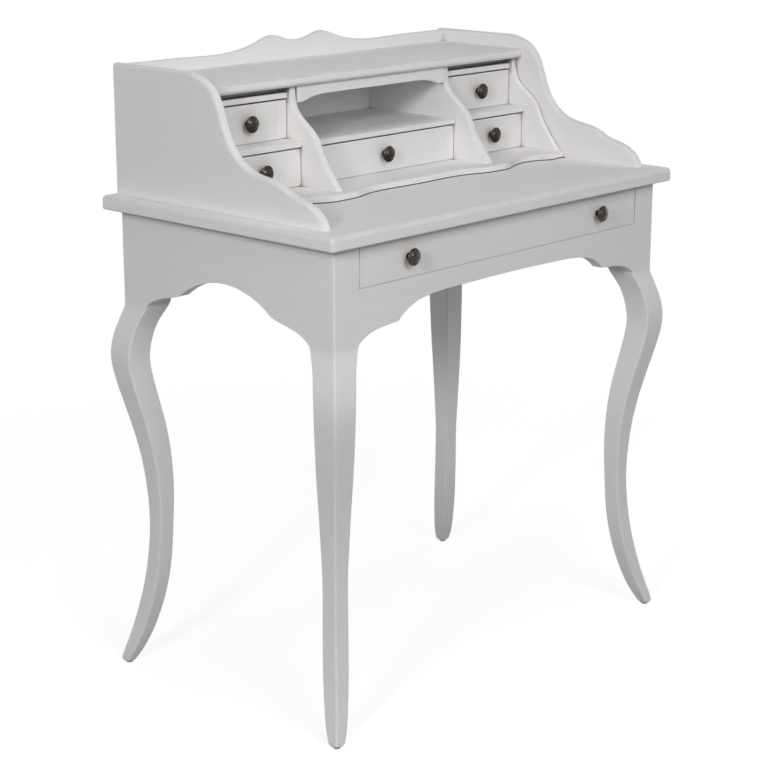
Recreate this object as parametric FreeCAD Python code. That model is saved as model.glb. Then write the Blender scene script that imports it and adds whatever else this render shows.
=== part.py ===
"""A bonheur du jour: a small painted writing desk with a drawered hutch on its top.

Millimetres, +Z up, +X to the sitter's right, -Y towards the sitter.
The origin is on the floor under the middle of the desk.
Every piece is written to parts/NAME.step.
"""
import FreeCAD
import Part
import os
from collections import namedtuple

V = FreeCAD.Vector
Build = namedtuple("Build", "front side bottom headroom reveal")

# How near two lengths must be to count as equal, and how far a cut runs past a face
TOUCHING = 0.01
PAST = 1.0

# ---------------------------------------------------------------- desk
DESK_HEIGHT = 762.5
TOP_WIDTH = 800.0
TOP_DEPTH = 487.0
TOP_THICKNESS = 21.5
TOP_CORNER_RADIUS = 6.0
TOP_UPPER_ROUND = 7.0
TOP_LOWER_ROUND = 3.0
TOP_SIDE_OVERHANG = 22.5
TOP_FRONT_OVERHANG = 19.5

# ---------------------------------------------------------------- legs
POST_SIDE = 50.5
POST_LENGTH = 145.0
ARRIS_ROUND = 3.0
FOOT_TIP_SIDE = 13.0
FOOT_TIP_HEIGHT = 4.0
GLIDE_HEIGHT = 2.5
GLIDE_DIAMETER = 11.0
# (share of the shaft's height, how far the outer arris stands out past the apron, side of the square)
LEG_STATIONS = (
    (0.000, 17.3, 18.5),
    (0.040, 11.6, 24.0),
    (0.094, 3.4, 26.8),
    (0.155, -4.2, 28.3),
    (0.235, -12.2, 28.6),
    (0.320, -17.2, 28.2),
    (0.396, -19.2, 28.2),
    (0.481, -17.6, 31.2),
    (0.567, -12.8, 34.8),
    (0.654, -4.3, 38.8),
    (0.739, 6.4, 41.6),
    (0.803, 14.0, 43.2),
    (0.857, 17.4, 44.2),
    (0.905, 14.6, 45.0),
    (0.944, 9.0, 45.4),
    (0.975, 3.2, 47.8),
    (0.989, 0.8, 49.3),
    (0.996, 0.1, 50.2),
    (1.000, 0.0, POST_SIDE),
)

# -------------------------------------------------------------- aprons
APRON_THICKNESS = 20.0
APRON_EDGE_ROUND = 1.2
# Points along the lower edges: (distance from the post, rise above the post's foot)
FRONT_SHOULDER = ((0.0, 0.0), (9.0, 6.5), (24.5, 13.2), (51.0, 18.0), (83.5, 20.5))
FRONT_ARCH = ((93.5, 29.0), (107.5, 37.0), (126.5, 43.7), (149.5, 47.5), (213.5, 50.5))
FRONT_ARCH_RISE = 52.0
SIDE_SHOULDER = ((0.0, 0.0), (10.0, 7.5), (29.5, 16.0), (53.5, 22.0), (76.5, 28.5))
SIDE_ARCH = ()
SIDE_ARCH_RISE = 62.0

# ------------------------------------------------- corner blocks, bolts
BLOCK_LEG = 50.0
BLOCK_HEIGHT = 40.0
BLOCK_GAP = 0.5
BOLT_RADIUS = 4.0
BOLT_CLEARANCE = 0.2
BOLT_DEPTH = 24.0
BOLT_HEAD_RADIUS = 8.0
BOLT_HEAD_HEIGHT = 5.5
BOLT_HEAD_SIDES = 6
TOP_BLOCK_LENGTH = 60.0
TOP_BLOCK_SIDE = 18.0

# -------------------------------------------------------------- drawers
SLIDE_GAP = 0.3
KNOB_DIAMETER = 26.0
KNOB_PROJECTION = 16.5
KNOB_FOOT_DIAMETER = 9.0
KNOB_NECK_DIAMETER = 7.0
KNOB_BACK = 7.8
KNOB_BACK_SWELL = 1.0
KNOB_RIM = 11.6
KNOB_RIM_THICKNESS = 2.8
KNOB_RIM_ROUND = 0.7
KNOB_NECK_FLARE = 0.9
KNOB_GROOVE_DIAMETER = 20.0
KNOB_GROOVE_WIDTH = 1.6
KNOB_GROOVE_DEPTH = 0.6
SCREW_DIAMETER = 4.0
SCREW_HOLE_DIAMETER = 4.4
SCREW_GRIP = 9.0
SCREW_HEAD_DIAMETER = 8.0
SCREW_HEAD_HEIGHT = 2.4

# Thickness of the front, the sides and the bottom, how much lower the sides are than the front,
# and the gap that shows round the front
DESK_BUILD = Build(front=18.0, side=12.0, bottom=5.0, headroom=9.0, reveal=1.1)
SMALL_BUILD = Build(front=12.0, side=8.0, bottom=3.0, headroom=8.0, reveal=1.0)
GROOVE_DEPTH = 4.0
GROOVE_RISE = 5.0
DRAWER_FACE_ROUND = 0.5
SMALL_DRAWER_TOP_GAP = 1.8
DESK_DRAWER_DROP = 64.0
DESK_KNOB_SPACING = 449.0
DESK_KNOB_DROP = 32.5
RUNNER_WIDTH = 14.0
RUNNER_THICKNESS = 12.0
GUIDE_HEIGHT = 22.0
GUIDE_GAP = 0.8
STOP_LENGTH = 20.0
STOP_HEIGHT = 14.0
STOP_INSET = 3.2

# ---------------------------------------------------------------- hutch
HUTCH_HEIGHT = 197.0
HUTCH_SIDE_SETBACK = 25.0
HUTCH_FRONT_SETBACK = 40.0
HUTCH_BACK_SETBACK = 9.5
GABLE_THICKNESS = 15.0
GABLE_ROUND = 4.5
BACK_THICKNESS = 8.0
BACK_SETBACK = 6.0
LINER_THICKNESS = 11.0
PARTITION_THICKNESS = 12.5
UPRIGHT_ROUND = 3.0
CENTRE_BAY_WIDTH = 340.0
BASE_THICKNESS = 11.0
BASE_UPPER_ROUND = 2.5
BASE_LOWER_ROUND = 0.8
BASE_RELIEF_HEIGHT = 1.2
BASE_RELIEF_DEPTH = 5.0
DECK_THICKNESS = 16.5
DECK_DEPTH = 176.0
DECK_DROP = 21.0
DECK_ROUND = 6.5
CENTRE_SHELF_THICKNESS = 8.5
CENTRE_SHELF_DEPTH = 193.0
CENTRE_DRAWER_OPENING = 58.0
SIDE_SHELF_THICKNESS = 10.5
SIDE_SHELF_DEPTH = 192.0
UPPER_OPENING_EXTRA = 1.0
TOP_BOARD_THICKNESS = 10.0
TOP_BOARD_DEPTH = 160.0
TOP_BOARD_REBATE_HEIGHT = 8.0
TOP_BOARD_REBATE_DEPTH = 14.0
SHELF_ROUND = 2.0
VALANCE_THICKNESS = 10.0
VALANCE_SETBACK = 8.0
VALANCE_ROUND = 0.8
# Points along the valance's lower edge: (distance from the partition, drop from the deck)
VALANCE_EAR = ((0.0, 25.5), (16.0, 24.8))
VALANCE_CURVE = ((16.0, 24.8), (26.0, 21.2), (42.0, 17.8), (70.0, 16.3))
HUTCH_SCREW_RADIUS = 2.0
HUTCH_SCREW_BITE = 8.0
HUTCH_SCREW_INSET = 50.0

# (share of the hutch depth forward from the back, share of the hutch height)
GABLE_CURVE = (
    (0.352, 1.000),
    (0.420, 0.976),
    (0.472, 0.915),
    (0.505, 0.829),
    (0.521, 0.750),
    (0.539, 0.640),
    (0.563, 0.525),
    (0.613, 0.399),
    (0.690, 0.322),
    (0.757, 0.297),
    (0.797, 0.271),
    (0.848, 0.218),
    (0.916, 0.176),
    (0.958, 0.130),
    (0.985, 0.075),
    (1.000, 0.000),
)
PARTITION_FOOT_DEPTH = 265.0
# (share of the foot's depth forward from the back board, share of the height)
PARTITION_CURVE = (
    (0.626, 1.000),
    (0.634, 0.850),
    (0.655, 0.760),
    (0.700, 0.680),
    (0.765, 0.590),
    (0.818, 0.490),
    (0.846, 0.380),
    (0.885, 0.260),
    (0.950, 0.110),
    (1.000, 0.000),
)
CREST_END_DROP = 1.5
CREST_MIDDLE_RISE = 9.5
# (share of the way from the middle to a gable, height above the ends of the crest)
CREST_CURVE = (
    (0.056, 11.5),
    (0.106, 17.0),
    (0.156, 20.0),
    (0.206, 16.5),
    (0.272, 8.5),
    (0.361, 1.8),
    (0.458, -1.6),
    (0.639, -0.8),
    (0.833, -0.2),
)
# (share of the way from the middle to a partition, how far the base board stands out past its foot)
BASE_INNER_CURVE = (
    (0.631, 1.0),
    (0.745, 6.5),
    (0.852, 12.5),
    (1.000, 14.5),
)
# (share of the way from a partition to a gable, how far the base board stands out past the foot)
BASE_OUTER_CURVE = (
    (0.163, 13.5),
    (0.283, 4.0),
    (0.408, -4.0),
    (0.680, -2.5),
    (0.805, 8.0),
    (0.898, 7.5),
    (1.000, 7.5),
)
# How far each drawer's front stands back from the deck's front edge
UPPER_DRAWER_SETBACK = 17.5
LOWER_DRAWER_SETBACK = -12.0
CENTRE_DRAWER_SETBACK = -14.0

# ----------------------------------------------------------- worked out
CARCASS_TOP = DESK_HEIGHT - TOP_THICKNESS
HALF_WIDTH = TOP_WIDTH / 2 - TOP_SIDE_OVERHANG
HALF_DEPTH = TOP_DEPTH / 2 - TOP_FRONT_OVERHANG
WALL_X = HALF_WIDTH - APRON_THICKNESS
WALL_Y = HALF_DEPTH - APRON_THICKNESS
POST_INNER_X = HALF_WIDTH - POST_SIDE
POST_INNER_Y = HALF_DEPTH - POST_SIDE
SHAFT_TOP = CARCASS_TOP - POST_LENGTH
SHAFT_BOTTOM = GLIDE_HEIGHT + FOOT_TIP_HEIGHT
RAIL_TOP = CARCASS_TOP - DESK_DRAWER_DROP
BLOCK_TOP = RAIL_TOP - RUNNER_THICKNESS - BLOCK_GAP
BLOCK_MIDDLE = BLOCK_TOP - BLOCK_HEIGHT / 2
STOP_FRONT_Y = POST_INNER_Y - STOP_INSET - STOP_LENGTH

HUTCH_BACK_Y = TOP_DEPTH / 2 - HUTCH_BACK_SETBACK
HUTCH_DEPTH = TOP_DEPTH - HUTCH_BACK_SETBACK - HUTCH_FRONT_SETBACK
HUTCH_TOP = DESK_HEIGHT + HUTCH_HEIGHT
HUTCH_SIDE_X = TOP_WIDTH / 2 - HUTCH_SIDE_SETBACK
GABLE_INNER_X = HUTCH_SIDE_X - GABLE_THICKNESS
BACK_REAR_Y = HUTCH_BACK_Y - BACK_SETBACK
BACK_FACE_Y = BACK_REAR_Y - BACK_THICKNESS
BASE_TOP = DESK_HEIGHT + BASE_THICKNESS
DECK_TOP = HUTCH_TOP - DECK_DROP
DECK_UNDERSIDE = DECK_TOP - DECK_THICKNESS
DECK_FRONT_Y = BACK_FACE_Y - DECK_DEPTH
PARTITION_FOOT_Y = BACK_FACE_Y - PARTITION_FOOT_DEPTH
BAY_INNER_X = CENTRE_BAY_WIDTH / 2
PARTITION_MIDDLE_X = BAY_INNER_X + PARTITION_THICKNESS / 2
SIDE_BAY_X0 = BAY_INNER_X + PARTITION_THICKNESS
SIDE_BAY_X1 = GABLE_INNER_X - LINER_THICKNESS
TOP_BOARD_Z = DECK_UNDERSIDE - TOP_BOARD_REBATE_HEIGHT - TOP_BOARD_THICKNESS
SIDE_OPENINGS = TOP_BOARD_Z - BASE_TOP - SIDE_SHELF_THICKNESS
LOWER_OPENING = (SIDE_OPENINGS - UPPER_OPENING_EXTRA) / 2
UPPER_OPENING = SIDE_OPENINGS - LOWER_OPENING
SIDE_SHELF_Z = BASE_TOP + LOWER_OPENING
UPPER_DRAWER_Z = SIDE_SHELF_Z + SIDE_SHELF_THICKNESS
CENTRE_SHELF_Z = BASE_TOP + CENTRE_DRAWER_OPENING


# -------------------------------------------------------------- helpers
def save(name, *solids):
    """Write one node, made of one solid or several separate ones."""
    shape = solids[0] if len(solids) == 1 else Part.makeCompound(list(solids))
    shape.exportStep("parts/" + name + ".step")


def box(x0, x1, y0, y1, z0, z1):
    """A block between two corners."""
    return Part.makeBox(x1 - x0, y1 - y0, z1 - z0, V(x0, y0, z0))


def rod(radius, start, end):
    """A round rod from one point to another."""
    axis = end.sub(start)
    return Part.makeCylinder(radius, axis.Length, start, axis)


def flip_x(shape):
    """The same piece on the other side, left for right."""
    return shape.mirror(V(0, 0, 0), V(1, 0, 0))


def flip_y(shape):
    """The same piece on the other side, front for back."""
    return shape.mirror(V(0, 0, 0), V(0, 1, 0))


def edge(points):
    """A line through two points, an arc through three, a smooth curve through more."""
    if len(points) == 2:
        return Part.makeLine(*points)
    if len(points) == 3:
        return Part.Arc(*points).toShape()
    curve = Part.BSplineCurve()
    curve.interpolate(points)
    return curve.toShape()


def flowing_edge(points, way):
    """A smooth curve through points that leaves the first one in a set direction."""
    curve = Part.BSplineCurve()
    curve.interpolate(points)
    start = curve.getD1(curve.FirstParameter)[1].Length
    end = curve.getD1(curve.LastParameter)[1]
    curve.interpolate(Points=points, InitialTangent=way * start, FinalTangent=end, Scale=False)
    return curve.toShape()


def slab(pieces, place, thickness):
    """Extrude a closed outline. place turns its (a, b) points into points in space."""
    edges = [edge([place(a, b) for a, b in piece]) for piece in pieces]
    return Part.Face(Part.Wire(edges)).extrude(thickness)


def on_front(y):
    """Outline points are (x, z) in the upright plane at y."""
    return lambda x, z: V(x, y, z)


def on_side(x):
    """Outline points are (y, z) in the upright plane at x."""
    return lambda y, z: V(x, y, z)


def soften(solid, radius, wanted):
    """Round the edges that the test picks."""
    edges = [e for e in solid.Edges if wanted(e)]
    return solid.makeFillet(radius, edges)


def near(a, b):
    """Whether two lengths agree."""
    return abs(a - b) < TOUCHING


def is_in_face(e, axis, place):
    """Whether an edge lies in the flat face that stands square to an axis at a place."""
    b = e.BoundBox
    low = {"X": b.XMin, "Y": b.YMin, "Z": b.ZMin}[axis]
    high = {"X": b.XMax, "Y": b.YMax, "Z": b.ZMax}[axis]
    return near(low, place) and near(high, place)


# ----------------------------------------------------------------- legs
def rounded_square(x_out, y_out, side, radius, z):
    """A level square with rounded corners, whose front left corner is at (x_out, y_out)."""
    x0, x1 = x_out, x_out + side
    y0, y1 = y_out, y_out + side
    corners = (
        (x0 + radius, y0 + radius, -1, -1),
        (x1 - radius, y0 + radius, 1, -1),
        (x1 - radius, y1 - radius, 1, 1),
        (x0 + radius, y1 - radius, -1, 1),
    )
    diagonal = radius * 0.5 ** 0.5
    edges = []
    last = None
    for cx, cy, sx, sy in corners:
        on_x = V(cx + sx * radius, cy, z)
        on_y = V(cx, cy + sy * radius, z)
        start, end = (on_x, on_y) if sx == sy else (on_y, on_x)
        if last is not None:
            edges.append(Part.makeLine(last, start))
        middle = V(cx + sx * diagonal, cy + sy * diagonal, z)
        edges.append(Part.Arc(start, middle, end).toShape())
        last = end
    first = edges[0].Vertexes[0].Point
    edges.append(Part.makeLine(last, first))
    return Part.Wire(edges)


def leg_section(share, out, side):
    """The front left leg's section, at a share of the way up its shaft."""
    z = SHAFT_BOTTOM + (SHAFT_TOP - SHAFT_BOTTOM) * share
    return rounded_square(-HALF_WIDTH - out, -HALF_DEPTH - out, side, ARRIS_ROUND, z)


def leg():
    """The front left leg: a pointed foot, the S-shaped shaft and the square post."""
    shaft = Part.makeLoft([leg_section(*station) for station in LEG_STATIONS], True, False)
    share, out, side = LEG_STATIONS[0]
    inset = (side - FOOT_TIP_SIDE) / 2
    corner = out - inset
    tip = rounded_square(
        -HALF_WIDTH - corner, -HALF_DEPTH - corner, FOOT_TIP_SIDE, ARRIS_ROUND, GLIDE_HEIGHT,
    )
    foot = Part.makeLoft([tip, leg_section(share, out, side)], True, True)
    post = box(-HALF_WIDTH, -POST_INNER_X, -HALF_DEPTH, -POST_INNER_Y, SHAFT_TOP, CARCASS_TOP)
    post = soften(post, ARRIS_ROUND, is_outer_arris)
    joined = foot.fuse([shaft, post]).removeSplitter()
    return joined.cut(bolt_hole())


def is_outer_arris(e):
    """The upright edge of the post at the corner of the carcass."""
    return is_in_face(e, "X", -HALF_WIDTH) and is_in_face(e, "Y", -HALF_DEPTH)


def glide():
    """The small round glide under the front left foot."""
    out, side = LEG_STATIONS[0][1:]
    x = -HALF_WIDTH - out + side / 2
    y = -HALF_DEPTH - out + side / 2
    return Part.makeCylinder(GLIDE_DIAMETER / 2, GLIDE_HEIGHT, V(x, y, 0))


def four_corners(piece):
    """A piece at the front left and its copies at the other three corners."""
    return [piece, flip_x(piece), flip_y(piece), flip_x(flip_y(piece))]


def save_legs():
    """Legs and glides."""
    names = ("leg_front_left", "leg_front_right", "leg_back_left", "leg_back_right")
    for name, piece in zip(names, four_corners(leg())):
        save(name, piece)
    save("foot_glides", *four_corners(glide()))


# --------------------------------------------------------------- aprons
def apron_outline(half, shoulder, arch, arch_rise):
    """A board's outline between two posts, with the stepped arch along its lower edge."""
    side = [(half - along, SHAFT_TOP + rise) for along, rise in shoulder]
    flank = side[-1:] + [(half - along, SHAFT_TOP + rise) for along, rise in arch]
    crown = flank + [(0, SHAFT_TOP + arch_rise)] + mirrored(flank)
    return [
        side, crown, mirrored(side),
        [(-half, SHAFT_TOP), (-half, CARCASS_TOP)],
        [(-half, CARCASS_TOP), (half, CARCASS_TOP)],
        [(half, CARCASS_TOP), (half, SHAFT_TOP)],
    ]


def mirrored(points):
    """Outline points on the other side of the middle, in the order that continues the outline."""
    return [(-a, b) for a, b in reversed(points)]


def is_apron_edge(e, axis, face):
    """An edge of the apron's outer face, other than its straight top."""
    return is_in_face(e, axis, face) and e.BoundBox.ZMax < CARCASS_TOP - PAST


def apron_back():
    """The back apron."""
    outline = apron_outline(POST_INNER_X, FRONT_SHOULDER, FRONT_ARCH, FRONT_ARCH_RISE)
    board = slab(outline, on_front(HALF_DEPTH), V(0, -APRON_THICKNESS, 0))
    return soften(board, APRON_EDGE_ROUND, lambda e: is_apron_edge(e, "Y", HALF_DEPTH))


def apron_front():
    """The front apron: the same board cut down to a shaped rail under the desk drawer."""
    above = box(-HALF_WIDTH, HALF_WIDTH, -HALF_DEPTH - PAST, -WALL_Y + PAST, RAIL_TOP, CARCASS_TOP + PAST)
    return flip_y(apron_back()).cut(above)


def apron_left():
    """The left apron."""
    outline = apron_outline(POST_INNER_Y, SIDE_SHOULDER, SIDE_ARCH, SIDE_ARCH_RISE)
    board = slab(outline, on_side(-HALF_WIDTH), V(APRON_THICKNESS, 0, 0))
    return soften(board, APRON_EDGE_ROUND, lambda e: is_apron_edge(e, "X", -HALF_WIDTH))


def save_aprons():
    """The four aprons."""
    save("apron_front", apron_front())
    save("apron_back", apron_back())
    save("apron_left", apron_left())
    save("apron_right", flip_x(apron_left()))


# -------------------------------------------------- inside the carcass
def corner_block():
    """The block across the front left corner, notched round the post, with its bolt hole."""
    points = (
        (-WALL_X, -POST_INNER_Y + BLOCK_LEG),
        (-WALL_X, -POST_INNER_Y),
        (-POST_INNER_X, -POST_INNER_Y),
        (-POST_INNER_X, -WALL_Y),
        (-POST_INNER_X + BLOCK_LEG, -WALL_Y),
    )
    bottom = [V(x, y, BLOCK_TOP - BLOCK_HEIGHT) for x, y in points]
    wire = Part.makePolygon(bottom + bottom[:1])
    return Part.Face(wire).extrude(V(0, 0, BLOCK_HEIGHT)).cut(bolt_hole())


def bolt_line():
    """The front left bolt: its start on the block's long face, its direction and its length."""
    inward = (BLOCK_LEG + APRON_THICKNESS - POST_SIDE) / 2
    start = V(-POST_INNER_X + inward, -POST_INNER_Y + inward, BLOCK_MIDDLE)
    into = V(-1, -1, 0).normalize()
    return start, into, inward * 2 ** 0.5 + BOLT_DEPTH


def bolt_hole():
    """The hole for the front left bolt, through the block and into the post."""
    start, into, reach = bolt_line()
    return rod(BOLT_RADIUS + BOLT_CLEARANCE, start - into * PAST, start + into * (reach + BOLT_CLEARANCE))


def leg_bolt():
    """The hexagon bolt that draws the front left leg into its corner."""
    start, into, reach = bolt_line()
    shank = rod(BOLT_RADIUS, start, start + into * reach)
    rim = [V(BOLT_HEAD_RADIUS, 0, 0)]
    turn = FreeCAD.Rotation(V(0, 0, 1), 360 / BOLT_HEAD_SIDES)
    for _ in range(BOLT_HEAD_SIDES):
        rim.append(turn.multVec(rim[-1]))
    head = Part.Face(Part.makePolygon(rim)).extrude(V(0, 0, BOLT_HEAD_HEIGHT))
    head.Placement = FreeCAD.Placement(start - into * BOLT_HEAD_HEIGHT, FreeCAD.Rotation(V(0, 0, 1), into))
    return shank.fuse(head)


def runner():
    """The left drawer runner: the strip that the drawer slides on, with its guide along the wall."""
    end = POST_INNER_Y
    guide_x = -POST_INNER_X + DESK_BUILD.reveal - GUIDE_GAP
    strip = box(-WALL_X, -POST_INNER_X + RUNNER_WIDTH, -end, end, RAIL_TOP - RUNNER_THICKNESS, RAIL_TOP)
    guide = box(-WALL_X, guide_x, -end, end, RAIL_TOP, RAIL_TOP + GUIDE_HEIGHT)
    return strip.fuse(guide).removeSplitter()


def drawer_stop():
    """The left stop, on the runner behind the closed drawer."""
    x0 = -POST_INNER_X + DESK_BUILD.reveal
    x1 = -POST_INNER_X + RUNNER_WIDTH
    return box(x0, x1, STOP_FRONT_Y, STOP_FRONT_Y + STOP_LENGTH, RAIL_TOP, RAIL_TOP + STOP_HEIGHT)


def top_blocks():
    """Glue blocks in the angle between the aprons and the writing top, halfway along each half."""
    z0 = CARCASS_TOP - TOP_BLOCK_SIDE
    half = TOP_BLOCK_LENGTH / 2
    blocks = []
    for y in (-POST_INNER_Y / 2, POST_INNER_Y / 2):
        side = box(-WALL_X, -WALL_X + TOP_BLOCK_SIDE, y - half, y + half, z0, CARCASS_TOP)
        blocks += [side, flip_x(side)]
    for x in (-POST_INNER_X / 2, POST_INNER_X / 2):
        blocks.append(box(x - half, x + half, WALL_Y - TOP_BLOCK_SIDE, WALL_Y, z0, CARCASS_TOP))
    return blocks


def save_inside():
    """What holds the carcass together and carries the desk drawer."""
    save("corner_blocks", *four_corners(corner_block()))
    save("leg_bolts", *four_corners(leg_bolt()))
    save("runner_left", runner())
    save("runner_right", flip_x(runner()))
    save("drawer_stops", drawer_stop(), flip_x(drawer_stop()))
    save("top_blocks", *top_blocks())


# ---------------------------------------------------------- writing top
def hutch_screws(extra):
    """The screws up through the writing top into the base board, or with extra room their holes."""
    radius = HUTCH_SCREW_RADIUS + extra
    x = GABLE_INNER_X - HUTCH_SCREW_INSET
    screws = []
    for y in (PARTITION_FOOT_Y + HUTCH_SCREW_INSET, BACK_FACE_Y - HUTCH_SCREW_INSET):
        foot = V(-x, y, CARCASS_TOP)
        shank = Part.makeCylinder(radius, TOP_THICKNESS + HUTCH_SCREW_BITE + extra, foot)
        screw = shank.fuse(Part.makeCone(radius * 2, radius, radius, foot))
        screws += [screw, flip_x(screw)]
    return screws


def tabletop():
    """The writing top, with its moulded edge."""
    x, y = TOP_WIDTH / 2, TOP_DEPTH / 2
    board = box(-x, x, -y, y, CARCASS_TOP, DESK_HEIGHT)
    board = soften(board, TOP_CORNER_RADIUS, lambda e: near(e.BoundBox.ZLength, TOP_THICKNESS))
    board = soften(board, TOP_UPPER_ROUND, lambda e: is_in_face(e, "Z", DESK_HEIGHT))
    board = soften(board, TOP_LOWER_ROUND, lambda e: is_in_face(e, "Z", CARCASS_TOP))
    return board.cut(hutch_screws(BOLT_CLEARANCE))


def save_top():
    """The writing top and the screws through it."""
    save("tabletop", tabletop())
    save("hutch_screws", *hutch_screws(0))


# ---------------------------------------------------------------- hutch
def gable():
    """The left gable: the S-shaped outer side of the hutch."""
    def place(forward, up):
        return V(-HUTCH_SIDE_X, HUTCH_BACK_Y - HUTCH_DEPTH * forward, DESK_HEIGHT + HUTCH_HEIGHT * up)

    curve = [place(*share) for share in GABLE_CURVE]
    back_top = place(0, 1)
    back_foot = place(0, 0)
    edges = [
        edge([back_top, curve[0]]),
        flowing_edge(curve, V(0, -1, 0)),
        edge([curve[-1], back_foot]),
        edge([back_foot, back_top]),
    ]
    board = Part.Face(Part.Wire(edges)).extrude(V(GABLE_THICKNESS, 0, 0))
    return soften(board, GABLE_ROUND, is_gable_edge)


def is_gable_edge(e):
    """The long edges over the gable's top and down its curved front."""
    b = e.BoundBox
    return b.XLength < TOUCHING and b.YLength > PAST and b.ZMax > HUTCH_TOP - PAST


def hutch_back():
    """The back board, whose top is cut to the two-humped crest."""
    half = GABLE_INNER_X
    end = HUTCH_TOP - CREST_END_DROP
    right = [(half * share, end + rise) for share, rise in CREST_CURVE] + [(half, end)]
    outline = [
        mirrored(right) + [(0, end + CREST_MIDDLE_RISE)] + right,
        [(half, end), (half, DESK_HEIGHT)],
        [(half, DESK_HEIGHT), (-half, DESK_HEIGHT)],
        [(-half, DESK_HEIGHT), (-half, end)],
    ]
    board = slab(outline, on_front(BACK_REAR_Y), V(0, -BACK_THICKNESS, 0))
    return soften(board, SHELF_ROUND, is_crest_edge)


def is_crest_edge(e):
    """The shaped top edges of the back board's two faces."""
    b = e.BoundBox
    return b.YLength < TOUCHING and b.ZMin > DECK_TOP


def shelf(x0, x1, y_front, z0, z1, radius):
    """A level board from the back board to a rounded front edge."""
    board = box(x0, x1, y_front, BACK_FACE_Y, z0, z1)
    for z in (z1, z0):
        board = soften(board, radius, lambda e: is_in_face(e, "Y", y_front) and is_in_face(e, "Z", z))
    return board


def base_layer(setback, z, thickness):
    """A layer of the base board, with its serpentine front set back."""
    half = GABLE_INNER_X
    foot = PARTITION_FOOT_Y + setback
    bay = half - PARTITION_MIDDLE_X
    right = [(PARTITION_MIDDLE_X * share, foot - out) for share, out in BASE_INNER_CURVE]
    right += [(PARTITION_MIDDLE_X + bay * share, foot - out) for share, out in BASE_OUTER_CURVE]
    end = right[-1][1]
    outline = [
        mirrored(right) + [(0, foot)] + right,
        [(half, end), (half, BACK_FACE_Y)],
        [(half, BACK_FACE_Y), (-half, BACK_FACE_Y)],
        [(-half, BACK_FACE_Y), (-half, end)],
    ]
    return slab(outline, lambda x, y: V(x, y, z), V(0, 0, thickness))


def base_board():
    """The base board, relieved under its serpentine front so that the lip stands clear of the top."""
    lip_z = DESK_HEIGHT + BASE_RELIEF_HEIGHT
    board = base_layer(0, lip_z, BASE_TOP - lip_z)
    for z, radius in ((BASE_TOP, BASE_UPPER_ROUND), (lip_z, BASE_LOWER_ROUND)):
        board = soften(board, radius, lambda e: is_serpentine(e, z))
    board = board.fuse(base_layer(BASE_RELIEF_DEPTH, DESK_HEIGHT, BASE_RELIEF_HEIGHT))
    return board.removeSplitter().cut(hutch_screws(BOLT_CLEARANCE))


def is_serpentine(e, z):
    """The base board's front edge at a height."""
    b = e.BoundBox
    return is_in_face(e, "Z", z) and b.XLength > GABLE_INNER_X and b.YLength > TOUCHING


def upright(x0, thickness):
    """A thin S-shaped board between the base board and the deck, with its left face at x0."""
    height = DECK_UNDERSIDE - BASE_TOP

    def place(forward, up):
        return (BACK_FACE_Y - PARTITION_FOOT_DEPTH * forward, BASE_TOP + height * up)

    curve = [place(*share) for share in PARTITION_CURVE]
    outline = [
        [(BACK_FACE_Y, DECK_UNDERSIDE), curve[0]],
        curve,
        [curve[-1], (BACK_FACE_Y, BASE_TOP)],
        [(BACK_FACE_Y, BASE_TOP), (BACK_FACE_Y, DECK_UNDERSIDE)],
    ]
    board = slab(outline, on_side(x0), V(thickness, 0, 0))
    return soften(board, UPRIGHT_ROUND, is_curved_front)


def is_curved_front(e):
    """The long S-shaped edges of an upright."""
    b = e.BoundBox
    return b.XLength < TOUCHING and b.YLength > PAST and b.ZLength > PAST


def valance():
    """The shaped strip under the deck over the pigeonhole."""
    y = DECK_FRONT_Y + VALANCE_SETBACK
    half = BAY_INNER_X
    top = DECK_UNDERSIDE
    ear = [(half - along, top - drop) for along, drop in VALANCE_EAR]
    curve = [(half - along, top - drop) for along, drop in VALANCE_CURVE]
    flat = curve[-1:]
    outline = [
        ear, curve, flat + mirrored(flat), mirrored(curve), mirrored(ear),
        [(-half, ear[0][1]), (-half, top)],
        [(-half, top), (half, top)],
        [(half, top), (half, ear[0][1])],
    ]
    board = slab(outline, on_front(y), V(0, VALANCE_THICKNESS, 0))
    return soften(board, VALANCE_ROUND, lambda e: is_valance_edge(e, y))


def is_valance_edge(e, y):
    """The shaped lower edge in the valance's front face."""
    return is_in_face(e, "Y", y) and e.BoundBox.ZMax < DECK_UNDERSIDE - PAST


def save_hutch():
    """The fixed boards of the hutch."""
    save("gable_left", gable())
    save("gable_right", flip_x(gable()))
    save("hutch_back", hutch_back())
    save("hutch_base", base_board())
    half = GABLE_INNER_X
    save("hutch_deck", shelf(-half, half, DECK_FRONT_Y, DECK_UNDERSIDE, DECK_TOP, DECK_ROUND))
    liner = upright(-GABLE_INNER_X, LINER_THICKNESS)
    save("liner_left", liner)
    save("liner_right", flip_x(liner))
    partition = upright(BAY_INNER_X, PARTITION_THICKNESS)
    save("partition_right", partition)
    save("partition_left", flip_x(partition))
    save_shelves()
    save("valance", valance())


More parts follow.
